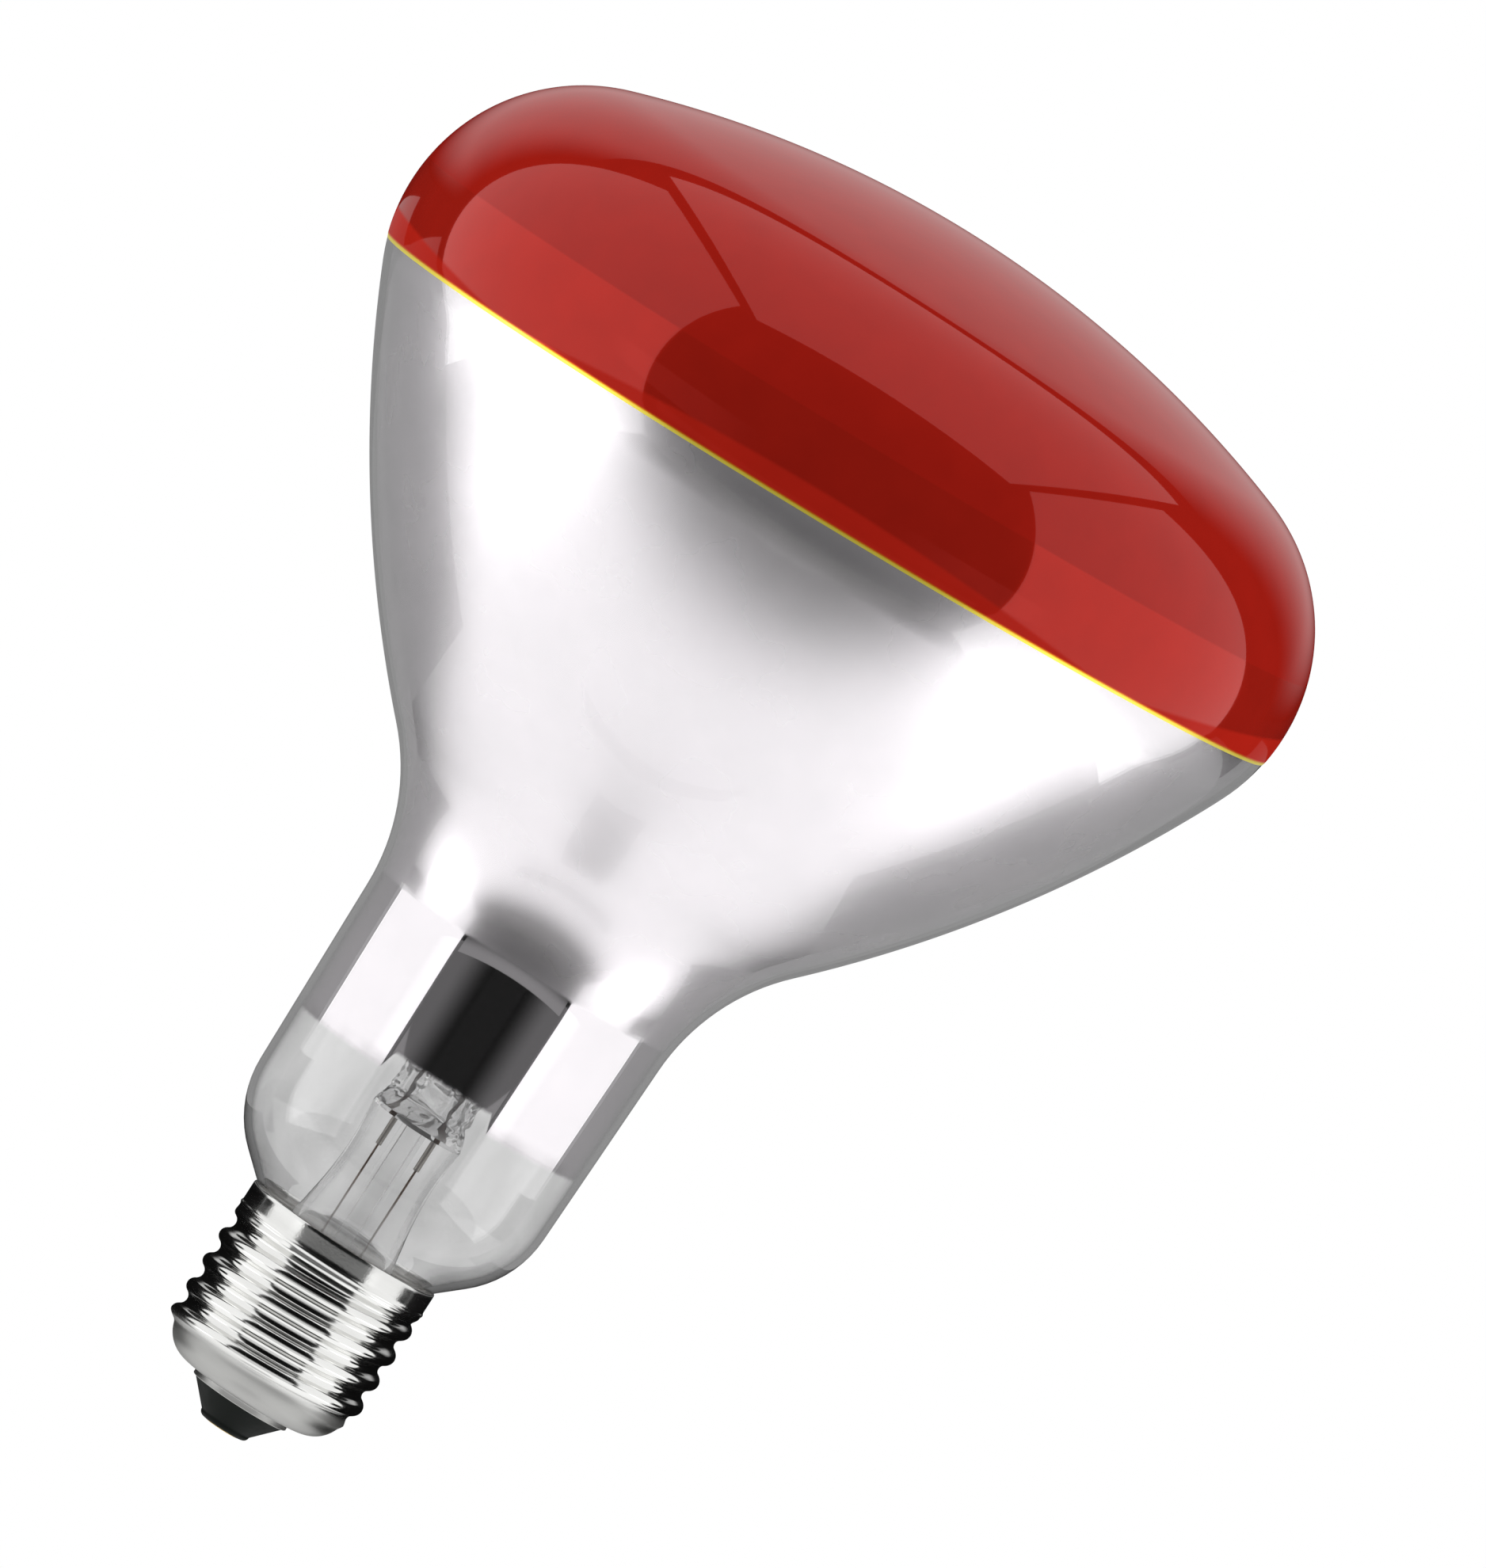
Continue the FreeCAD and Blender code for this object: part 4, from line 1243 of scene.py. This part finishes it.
@dataclass
class Stem:
    """The glass stem: a trumpet sealed in the bulb's foot, pinched flat round the leads at its top."""

    wall: float = 0.8
    flare_radius: float = 6.2
    flare_curve: float = 42.0
    flange_low: float = 18.6
    flange_high: float = 19.5
    flange_radius: float = 10.98
    flare_foot: float = 10.1
    flare_hole: float = 9.3
    base: float = 43.5
    shoulder: float = 46.5
    top: float = 50.5
    half_width: float = 6.0
    half_thickness: float = 1.7
    squareness: float = 0.45
    ridge: float = 0.45
    ridge_width: float = 0.7
    ridge_from: float = 0.3
    crinkle: float = 0.42
    crinkle_seed: int = 5
    coarse_crinkle: float = 0.62
    fine_crinkle: float = 1.5
    fine_share: float = 0.45
    fine_shift: Point = (7.0, 3.0, 1.0)
    calm: float = 0.85
    calm_width: float = 0.8
    pinch_rows: int = 34
    crown: Point = (0.8, 0.55, 0.3)
    crown_rise: float = 0.35
    crown_tip: float = 0.3
    pinch_glass_from: float = 0.6
    exhaust_radius: float = 1.7
    exhaust_wall: float = 0.7
    exhaust_tip: float = 14.0
    exhaust_tip_length: float = 2.1
    exhaust_tip_share: float = 0.6
    exhaust_tip_rise: float = 0.2
    exhaust_steps: int = 64
    lead_offset: float = 3.3
    seal_radius: float = 0.38
    stub_radius: float = 0.385
    stub_length: float = 4.3
    thin_radius: float = 0.14
    thin_bend: float = 1.6
    stout_bend: float = 0.1
    far_bend_height: float = 15.6
    eyelet_entry: float = 10.0
    eyelet_end: float = 2.0
    steps: int = 160

    def pinch_point(self, angle: float, height: float) -> tuple[float, float]:
        """Where the outside of the squeezed tube lies at an angle and a height.

        Args:
            angle: the angle about the axis, from the stem's own X.
            height: the height above the contact's tip.

        Returns:
            The distances along the stem's own X and Y.
        """
        flat = eased(min(max((height - self.base) / (self.shoulder - self.base), 0.0), 1.0))
        wide = self.flare_radius + (self.half_width - self.flare_radius) * flat
        thick = self.flare_radius + (self.half_thickness - self.flare_radius) * flat
        power = 1 - self.squareness * flat
        across = wide * math.copysign(abs(math.cos(angle)) ** power, math.cos(angle))
        through = thick * math.copysign(abs(math.sin(angle)) ** power, math.sin(angle))
        off_lead = abs(across) - self.lead_offset
        ridge = self.ridge * math.exp(-(off_lead / self.ridge_width) ** 2) * flat
        through += math.copysign(ridge, through) if abs(through) > self.ridge_from else 0.0
        spot = Vector((across, through, height))
        smooth = math.exp(-(off_lead / self.calm_width) ** 2)
        strength = self.crinkle * flat * (1 - self.calm * smooth)
        sway = noise.noise_vector(spot * self.coarse_crinkle) * strength
        fine = spot * self.fine_crinkle + Vector(self.fine_shift)
        sway += noise.noise_vector(fine) * strength * self.fine_share
        return across + sway.x, through + sway.y

    def flare_section(self) -> Outline:
        """The trumpet, from the top of its inside round the flange to the top of its outside.

        Returns:
            The points in order.
        """
        inner_top = (self.flare_radius - self.wall, self.base)
        inner_foot = (self.flare_hole, self.flange_low)
        outer_foot = (self.flare_foot, self.flange_high)
        points = [(0.0, self.base)] + run((0.0, self.base), inner_top, 0.9)
        points += arc(inner_top, inner_foot, self.flare_curve - self.wall, Bow.RIGHT, 0.8)
        points += [(self.flange_radius, self.flange_low), (self.flange_radius, self.flange_high), outer_foot]
        return points + arc(outer_foot, (self.flare_radius, self.base), self.flare_curve, Bow.LEFT, 0.8)

    def glass_rings(self) -> list[list[Point]]:
        """The rings of the trumpet, the pinch and its crown, where a pole is a ring of one point.

        Returns:
            The rings in order, in millimetres and in the stem's own axes.
        """
        # Without a seed the crinkles would be drawn anew in every run
        noise.seed_set(self.crinkle_seed)
        angles = [math.tau * k / self.steps for k in range(self.steps)]
        rings = []
        for radius, height in self.flare_section():
            ring = [(radius * math.cos(angle), radius * math.sin(angle), height) for angle in angles]
            rings.append(ring if radius else [(0.0, 0.0, height)])
        for row in range(1, self.pinch_rows + 1):
            height = self.base + (self.top - self.base) * row / self.pinch_rows
            rings.append([(*self.pinch_point(angle, height), height) for angle in angles])
        edge = rings[-1]
        for shrink in self.crown:
            height = self.top + self.crown_rise * (1 - shrink)
            rings.append([(x * shrink, y * shrink, height) for x, y, _ in edge])
        return rings + [[(0.0, 0.0, self.top + self.crown_tip)]]

    def glass_stem(self, drawn: bpy.types.Material) -> bpy.types.Object:
        """Make the trumpet and its crinkled pinch as one closed mesh, each with its own glass.

        Args:
            drawn: the trumpet's glass.

        Returns:
            The stem.
        """
        mesh = bmesh.new()
        rings = [[mesh.verts.new(point) for point in ring] for ring in self.glass_rings()]
        for low, high in zip(rings, rings[1:]):
            for face in bridged(mesh, low, high):
                in_pinch = face.calc_center_median().z > self.base + self.pinch_glass_from
                face.material_index = int(in_pinch)
        bmesh.ops.transform(mesh, matrix=Matrix.Scale(MM, 4) @ STEM_AXES, verts=mesh.verts)
        stem = as_object("stem_trumpet", mesh)
        stem.data.materials.append(drawn)
        stem.data.materials.append(PINCH_GLASS.material())
        return stem

    def tube_section(self) -> Outline:
        """The pumping tube's section, closed at its drawn tip.

        Returns:
            The points in order.
        """
        bore = self.exhaust_radius - self.exhaust_wall
        shut = self.exhaust_tip + self.exhaust_tip_length
        points = [(0.0, self.exhaust_tip)]
        points.append((bore * self.exhaust_tip_share, self.exhaust_tip + self.exhaust_tip_rise))
        points += [(bore, self.exhaust_tip + self.exhaust_wall), (self.exhaust_radius, shut)]
        points += run((self.exhaust_radius, shut), (self.exhaust_radius, self.base), 1.5)
        points.append((bore, self.base))
        points += run((bore, self.base), (bore, shut + self.exhaust_wall), 1.5)
        return points + [(0.0, shut)]

    def lead(self, shape: NodeShape, name: str, points: Sequence[Point], slot: str, node: str) -> None:
        """Draw one wire through points in the stem's own axes and hand it over.

        Args:
            shape: the wire's tree.
            name: the piece's name.
            points: the wire's corners in millimetres.
            slot: its material slot.
            node: the solid that it stands for.
        """
        path = polyline([STEM_AXES @ Vector(point) for point in points])
        hand_over(shape.made_from(path, name), slot, node)

    def build(self) -> None:
        """Make the stem's glass and the wires below and in the pinch."""
        drawn = STEM_GLASS.material()
        hand_over(self.glass_stem(drawn), "stem_glass", "stem_flare")
        tube = swept("pumping_tube", self.tube_section(), self.exhaust_steps)
        dress(tube, drawn, "stem_glass", "exhaust_tube")
        seal = wire_shape("seal_wire", self.seal_radius, self.stout_bend, SEAL_WIRE.material())
        stub = wire_shape("lead_stub", self.stub_radius, self.stout_bend, NICKEL_WIRE.material())
        thin = wire_shape("thin_wire", self.thin_radius, self.thin_bend, THIN_WIRE.material())
        low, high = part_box("near_outer_lead")
        weld = low.z / MM + self.thin_radius
        reach = math.hypot(high.x, low.y) / MM
        for way in Way:
            side = way.name.lower()
            x = self.lead_offset * way.value
            joint, foot, head = (x, 0, self.base - self.stub_length), (x, 0, self.base), (x, 0, self.top)
            tail = [joint, (x, 0, weld), (reach, 0, weld)]
            if way is Way.FAR:
                tail = [joint, (x, 0, self.far_bend_height)]
                tail += [(0, 0, self.eyelet_entry), (0, 0, self.eyelet_end)]
            self.lead(seal, f"{side}_sealed_wire", [foot, head], "seal_wire", f"{side}_seal_wire")
            self.lead(stub, f"{side}_lead_stub", [joint, foot], "nickel_wire", f"{side}_lead_sleeve")
            self.lead(thin, f"{side}_thin_wire", tail, "thin_wire", f"{side}_outer_lead")


@dataclass
class FilamentMount:
    """The filament's mount: a glass cane with a button, five hooks, two stout leads and the coil."""

    foot: float = 50.5
    crown_rise: float = 0.35
    height: float = 86.0
    ring_radius: float = 14.0
    coil_radius: float = 0.65
    coil_wire: float = 0.13
    coil_turns: float = 62.0
    points_per_turn: int = 12
    coil_sides: int = 7
    cane_radius: float = 1.5
    cane_steps: int = 64
    button_radius: float = 2.6
    button_thickness: float = 3.0
    button_round: float = 2.4
    hook_radius: float = 0.2
    hook_count: int = 5
    hook_sides: int = 12
    hook_depth: float = 0.4
    hook_clearance: float = 0.02
    eye_sweep: float = 1.8 * math.pi
    eye_points: int = 28
    lead_radius: float = 0.35
    lead_offset: float = 3.3
    lead_straight: float = 8.5
    lead_bend: float = 3.2

    def cane_section(self) -> Outline:
        """The cane and its button, from the pinch to the dome on top.

        Returns:
            The points in order.
        """
        low = self.height - self.button_thickness
        mid = self.button_thickness / 2
        dome = (self.button_radius ** 2 + mid ** 2) / self.button_thickness
        start = self.foot + self.crown_rise
        points = [(0.0, start), (self.cane_radius, start)]
        points += run(points[-1], (self.cane_radius, low), 2.0)
        points += arc(points[-1], (self.button_radius, low + mid), self.button_round, Bow.RIGHT, 0.3)
        points += run(points[-1], (self.button_radius, self.height + mid), 0.6)
        return points + arc(points[-1], (0.0, self.height + self.button_thickness), dome, Bow.RIGHT, 0.3)

    def eye(self, x: float, radius: float, start: float, sweep: float) -> list[Vector]:
        """Points of a round eye about the coil, in the upright plane through the stem's X axis.

        Args:
            x: the eye's place along that axis.
            radius: its radius.
            start: the angle of its first point.
            sweep: the angle that it runs through.

        Returns:
            The points in order.
        """
        centre = Vector((x, 0.0, self.height))
        angles = [start + sweep * k / self.eye_points for k in range(self.eye_points + 1)]
        return [centre + Vector((radius * math.cos(a), 0.0, radius * math.sin(a))) for a in angles]

    def hooks(self, material: bpy.types.Material) -> bpy.types.Object:
        """Draw one hook and set it round the button as often as the mount has hooks.

        Args:
            material: the hooks' finish.

        Returns:
            The hooks as one piece.
        """
        radius = self.coil_radius + self.hook_radius + self.hook_clearance
        points = [Vector((self.button_radius - self.hook_depth, 0.0, self.height))]
        points += self.eye(self.ring_radius, radius, math.pi, -self.eye_sweep)
        shape = NodeShape("support_hooks", {
            "Radius": self.hook_radius * MM,
            "Count": float(self.hook_count),
            "Turn": STEM_TURN,
        }, material)
        add, size = shape.add, shape.size
        hook = shape.wire(add("GeometryNodeMeshToCurve", size["Geometry"]), "Radius", self.hook_sides)
        spots = add("GeometryNodePoints", {"Count": size["Count"]})
        gaps = add(MATH, size["Count"], 1.0, operation="ADD")
        step = add(MATH, math.pi, gaps, operation="DIVIDE")
        place = add(MATH, add("GeometryNodeInputIndex"), 1.0, operation="ADD")
        angle = add(MATH, place, step, size["Turn"], operation="MULTIPLY_ADD")
        about = add("ShaderNodeCombineXYZ", {"Z": angle})
        around = {"Points": spots, "Instance": hook, "Rotation": about}
        shape.end_with(add("GeometryNodeInstanceOnPoints", around))
        return shape.made_from(polyline(points), "support_hooks")

    def coil(self, material: bpy.types.Material) -> bpy.types.Object:
        """Wind the filament: a fine helix that follows half a ring.

        Args:
            material: the wire's finish.

        Returns:
            The coil.
        """
        count = int(self.coil_turns * self.points_per_turn) + 1
        blank = polyline([Vector((k / (count - 1) / MM, 0.0, 0.0)) for k in range(count)])
        shape = NodeShape("filament_coil", {
            "Ring": self.ring_radius * MM,
            "Coil": (self.coil_radius - self.coil_wire) * MM,
            "Wire": self.coil_wire * MM,
            "Turns": self.coil_turns,
            "Height": self.height * MM,
            "Turn": STEM_TURN,
        }, material)
        add, size = shape.add, shape.size
        along = add("ShaderNodeSeparateXYZ", add("GeometryNodeInputPosition")).outputs["X"]
        sweep = add(MATH, along, math.pi, size["Turn"], operation="MULTIPLY_ADD")
        wound = add(MATH, along, size["Turns"], operation="MULTIPLY")
        swing = add(MATH, wound, math.tau, operation="MULTIPLY")
        swing_cos = add(MATH, swing, operation="COSINE")
        swing_sin = add(MATH, swing, operation="SINE")
        out = add(MATH, swing_cos, size["Coil"], size["Ring"], operation="MULTIPLY_ADD")
        up = add(MATH, swing_sin, size["Coil"], size["Height"], operation="MULTIPLY_ADD")
        sweep_cos = add(MATH, sweep, operation="COSINE")
        sweep_sin = add(MATH, sweep, operation="SINE")
        x = add(MATH, out, sweep_cos, operation="MULTIPLY")
        y = add(MATH, out, sweep_sin, operation="MULTIPLY")
        spot = add("ShaderNodeCombineXYZ", x, y, up)
        helix = add("GeometryNodeSetPosition", {"Geometry": size["Geometry"], "Position": spot})
        shape.end_with(shape.wire(add("GeometryNodeMeshToCurve", helix), "Wire", self.coil_sides))
        return shape.made_from(blank, "filament_coil")

    def stout_path(self, way: Way) -> list[Vector]:
        """The path of one stout lead, from the pinch to the eye that holds the coil's end.

        Args:
            way: the lead's side.

        Returns:
            The points in order.
        """
        loop = self.coil_radius + self.lead_radius + self.hook_clearance
        near, far = way.value * self.lead_offset, way.value * self.ring_radius
        low = self.height - loop
        points = [
            Vector((near, 0.0, self.foot)),
            Vector((near, 0.0, self.foot + self.lead_straight)),
            Vector((far, 0.0, low - self.lead_straight)),
            Vector((far, 0.0, low)),
        ]
        return points + self.eye(far, loop, -math.pi / 2, way.value * self.eye_sweep)[1:]

    def build(self) -> None:
        """Make the cane, the stout leads, the hooks and the coil."""
        cane = swept("button_cane", self.cane_section(), self.cane_steps)
        dress(cane, CANE_GLASS.material(), "stem_glass", "arbor_rod")
        lead = wire_shape("stout_lead", self.lead_radius, self.lead_bend, NICKEL_WIRE.material())
        for way in Way:
            side = way.name.lower()
            path = polyline([STEM_AXES @ point for point in self.stout_path(way)])
            hand_over(lead.made_from(path, f"{side}_stout_lead"), "nickel_wire", f"{side}_inner_lead")
        nodes = [f"support_wire_{number}" for number in range(1, self.hook_count + 1)]
        hand_over(self.hooks(MOLYBDENUM.material()), "support_metal", *nodes)
        hand_over(self.coil(TUNGSTEN.material()), "tungsten_coil", "filament")


class Panel(Enum):
    """The lamps of the light tent: centre, size along its two sides, and turn, in metres and degrees."""

    LEFT = ((-0.193, -0.0725, 0.203), (0.354, 0.265), (0.0, -90.0, 0.0))
    RIGHT = ((0.193, -0.0725, 0.2055), (0.359, 0.265), (0.0, 90.0, 0.0))
    LEFT_LOW = ((-0.193, -0.1025, -0.017), (0.086, 0.205), (0.0, -90.0, 0.0))
    RIGHT_LOW = ((0.193, -0.1025, -0.017), (0.086, 0.205), (0.0, 90.0, 0.0))
    TOP = ((0.0, -0.06, 0.395), (0.368, 0.36), (0.0, 0.0, 0.0))


@dataclass(frozen=True)
class Sheet:
    """A flat card: opposite corners in metres, its brightness, and how far its edges fade."""

    low: Point
    high: Point
    level: float
    ends: float = 0.0
    foot: float = 0.0
    head: float = 0.0

    def corners(self) -> list[Point]:
        """The card's four corners: it lies flat, or stands along X or along Y.

        Returns:
            The corners in order.
        """
        (x0, y0, z0), (x1, y1, z1) = self.low, self.high
        if z0 == z1:
            return [(x0, y0, z0), (x1, y0, z0), (x1, y1, z0), (x0, y1, z0)]
        return [(x0, y0, z0), (x1, y1, z0), (x1, y1, z1), (x0, y0, z1)]

    def edges(self) -> list[tuple[str, float, float]]:
        """The fades that the card has.

        Returns:
            For each fade the axis, where the card is dark, and where it is full.
        """
        (x0, y0, z0), (x1, y1, z1) = self.low, self.high
        across, foot, head = ("Y", y0, y1) if z0 == z1 else ("Z", z0, z1)
        fades = [
            ("X", x0, x0 + self.ends),
            ("X", x1, x1 - self.ends),
            (across, foot, foot + self.foot),
            (across, head, head - self.head),
        ]
        return [fade for fade in fades if fade[1] != fade[2]]


class Card(Enum):
    """The cards of the tent, which only show in reflections."""

    TABLE = Sheet((-0.5, -0.237, -0.11), (0.5, 0.34, -0.11), 1.17, foot=0.09, head=0.33)
    # A dimmer patch on the table card just below the lamp: a painted shadow of the lamp itself, which the
    # film mirrors as a soft grey spot
    SPOT = Sheet((-0.024, -0.055, -0.1), (0.024, -0.008, -0.1), 0.68)
    BACK_LEFT = Sheet((-0.5, 0.3, -0.11), (-0.11, 0.3, 0.055), 0.37)
    BACK_RIGHT = Sheet((0.11, 0.3, -0.11), (0.5, 0.3, 0.055), 0.37)
    LEFT_BACK = Sheet((-0.2, 0.06, -0.11), (-0.2, 0.3, 0.055), 0.33)
    RIGHT_BACK = Sheet((0.2, 0.06, -0.11), (0.2, 0.3, 0.055), 0.33)
    FRONT = Sheet((-0.26, -0.3, -0.06), (0.26, -0.3, 0.012), 0.24, foot=0.06)
    FRONT_LOW = Sheet((-0.26, -0.31, -0.5), (0.26, -0.31, -0.02), 0.09, head=0.05)
    FRONT_LEFT = Sheet((-1.6, -0.9, -0.2), (-0.2, -0.9, 0.06), 0.12, 0.45)
    FRONT_RIGHT = Sheet((0.2, -0.9, -0.2), (1.6, -0.9, 0.06), 0.12, 0.45)
    SILL = Sheet((-0.045, -0.06, -0.02), (0.045, -0.06, 0.006), 0.75)
    HIGH_BACK = Sheet((-0.64, 0.4, 0.14), (0.42, 0.4, 0.68), 0.62, 0.33, 0.09)
    BACKDROP = Sheet((-0.6, 0.9, -0.3), (0.6, 0.9, 0.078), 0.3)
    LEFT_FLAG = Sheet((-0.03, 0.0, -0.015), (-0.03, 0.1, 0.028), 0.004)
    RIGHT_FLAG = Sheet((0.03, 0.0, -0.015), (0.03, 0.1, 0.028), 0.004)
    BACK_FLAG = Sheet((-0.03, 0.06, -0.015), (0.03, 0.06, 0.028), 0.004)


@dataclass
class Studio:
    """The light tent, the pale floor and the camera, which leans as the photograph's does."""

    aim: Point = (0.0107, 0.0, 0.1)
    distance: float = 3.0
    elevation: float = 3.1
    roll: float = 32.85
    frame_height: float = 0.1897
    floor_colour: str = "#F2F2F0"
    floor_height: float = -0.12
    floor_radius: float = 0.85
    floor_fade: tuple[float, float] = (0.4, 0.98)
    panel_light: float = 1.08
    fill: float = 0.72
    wall_light: float = 0.25
    stem_light: float = 0.6
    dark_room: float = 0.004
    any_turn: float = 0.5
    few_turns: float = 2.5
    one_wall: float = 2.0
    one_wall_reach: float = 1.2
    many_walls: float = 4.5

    def camera(self) -> None:
        """Set the camera at the photograph's angle and make it the scene's own."""
        data = bpy.data.cameras.new("camera")
        data.sensor_width = 36.0
        data.lens = data.sensor_width * self.distance / self.frame_height
        data.clip_end = 20.0
        camera = linked("camera", data)
        up = math.radians(self.elevation)
        back = Vector((0.0, -math.cos(up), math.sin(up)))
        camera.location = Vector(self.aim) + back * self.distance
        camera.rotation_mode = "QUATERNION"
        level = (-back).to_track_quat("-Z", "Y")
        camera.rotation_quaternion = level @ Quaternion((0.0, 0.0, 1.0), math.radians(self.roll))
        bpy.context.scene.camera = camera

    def lamps(self) -> None:
        """Hang the tent's panels, each as bright as white paper."""
        for panel in Panel:
            centre, size, turn = panel.value
            data = bpy.data.lights.new(panel.name.lower(), "AREA")
            data.shape = "RECTANGLE"
            data.size, data.size_y = size
            data.energy = math.pi * size[0] * size[1] * self.panel_light
            lamp = linked(panel.name.lower(), data)
            lamp.location = centre
            lamp.rotation_euler = [math.radians(angle) for angle in turn]
            lamp.visible_camera = False

    def seen_in_mirrors(self, tree: bpy.types.NodeTree, level: Any) -> bpy.types.Node:
        """Give a brightness to mirrored rays, and the plain fill to diffuse rays and to clear glass.

        A ray that turns inside one wall of glass gets the wall's light, and one that turns once or twice in
        the stem's glass, behind the bulb's wall, gets the stem's.

        Args:
            tree: the node tree of the card or the world.
            level: the brightness that metal, film and gloss mirror, as a number or a node.

        Returns:
            The node that gives the brightness.
        """
        add = partial(add_node, tree)
        path = add("ShaderNodeLightPath").outputs
        turns, walls = path["Glossy Depth"], path["Transmission Depth"]
        turned = add(MATH, turns, self.any_turn, operation="GREATER_THAN")
        in_wall = add(MATH, walls, self.one_wall, self.one_wall_reach, operation="COMPARE")
        few = add(MATH, turns, self.few_turns, operation="LESS_THAN")
        many = add(MATH, walls, self.many_walls, operation="GREATER_THAN")
        in_stem = add(MATH, few, many, operation="MULTIPLY")
        mirrored = add(MIX, {0: in_wall, 2: level, 3: self.wall_light})
        inside = add(MIX, {0: in_stem, 2: mirrored, 3: self.stem_light})
        return add(MIX, {0: turned, 2: self.fill, 3: inside})

    def cards(self) -> None:
        """Put up the cards that the metal and the glass mirror, with their fades."""
        for card in Card:
            sheet = card.value
            name = card.name.lower()
            data = bpy.data.meshes.new(name)
            data.from_pydata(sheet.corners(), [], [(0, 1, 2, 3)])
            surface = Surface(f"{name}_card")
            axes = surface.axes()
            level: Any = sheet.level
            for axis, dark, full in sheet.edges():
                fade = surface.add(RANGE, axes[axis], dark, full, **SMOOTH)
                level = surface.add(MATH, level, fade, operation="MULTIPLY")
            strength = self.seen_in_mirrors(surface.tree, level)
            glow = surface.add("ShaderNodeEmission", {"Strength": strength})
            surface.material.cycles.emission_sampling = "NONE"
            data.materials.append(surface.finished(glow))
            board = linked(f"{name}_card", data)
            board.visible_camera = False
            board.visible_diffuse = False
            board.visible_shadow = False

    def floor(self) -> None:
        """Lay a plain pale floor below the lamp, which fades out before its edge."""
        mesh = bmesh.new()
        bmesh.ops.create_circle(mesh, cap_ends=True, segments=96, radius=self.floor_radius)
        bmesh.ops.translate(mesh, verts=mesh.verts, vec=(0.0, 0.0, self.floor_height))
        data = bpy.data.meshes.new("floor")
        mesh.to_mesh(data)
        mesh.free()
        surface = Surface("pale_floor")
        add = surface.add
        level = add(VECTOR, surface.place, LEVEL, operation="MULTIPLY")
        away = add(VECTOR, level, operation="LENGTH").outputs["Value"]
        start, end = [self.floor_radius * share for share in self.floor_fade]
        fade = add(RANGE, away, start, end, **SMOOTH)
        pale = add("ShaderNodeBsdfDiffuse", linear(self.floor_colour))
        clear = add("ShaderNodeBsdfTransparent")
        data.materials.append(surface.finished(add("ShaderNodeMixShader", fade, pale, clear)))
        floor = linked("floor", data)
        floor.visible_glossy = False

    def world(self) -> None:
        """Surround the lamp: white to the eye, a plain fill for light, and a dark room in reflections."""
        world = bpy.data.worlds.new("studio")
        bpy.context.scene.world = world
        world.use_nodes = True
        world.cycles.sampling_method = "NONE"
        tree = world.node_tree
        tree.nodes.clear()
        add = partial(add_node, tree)
        seen = add("ShaderNodeLightPath").outputs["Is Camera Ray"]
        level = add(MIX, {0: seen, 2: self.seen_in_mirrors(tree, self.dark_room), 3: 1.0})
        ground = add("ShaderNodeBackground", {"Color": linear("#FFFFFF"), "Strength": level})
        add("ShaderNodeOutputWorld", {"Surface": ground})

    def build(self) -> None:
        """Set up the whole studio."""
        self.camera()
        self.lamps()
        self.cards()
        self.floor()
        self.world()
        bpy.context.scene.view_settings.view_transform = "Standard"
        LOG.info("studio: %d lamps, %d cards", len(Panel), len(Card))


def main() -> None:
    """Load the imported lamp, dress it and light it."""
    logging.basicConfig(level=logging.INFO, format="%(name)s: %(message)s")
    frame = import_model()
    Bulb().build()
    ScrewCap().build(frame["nodes"]["cap_cement"])
    Stem().build()
    FilamentMount().build()
    Studio().build()


if __name__ == "__main__":
    main()
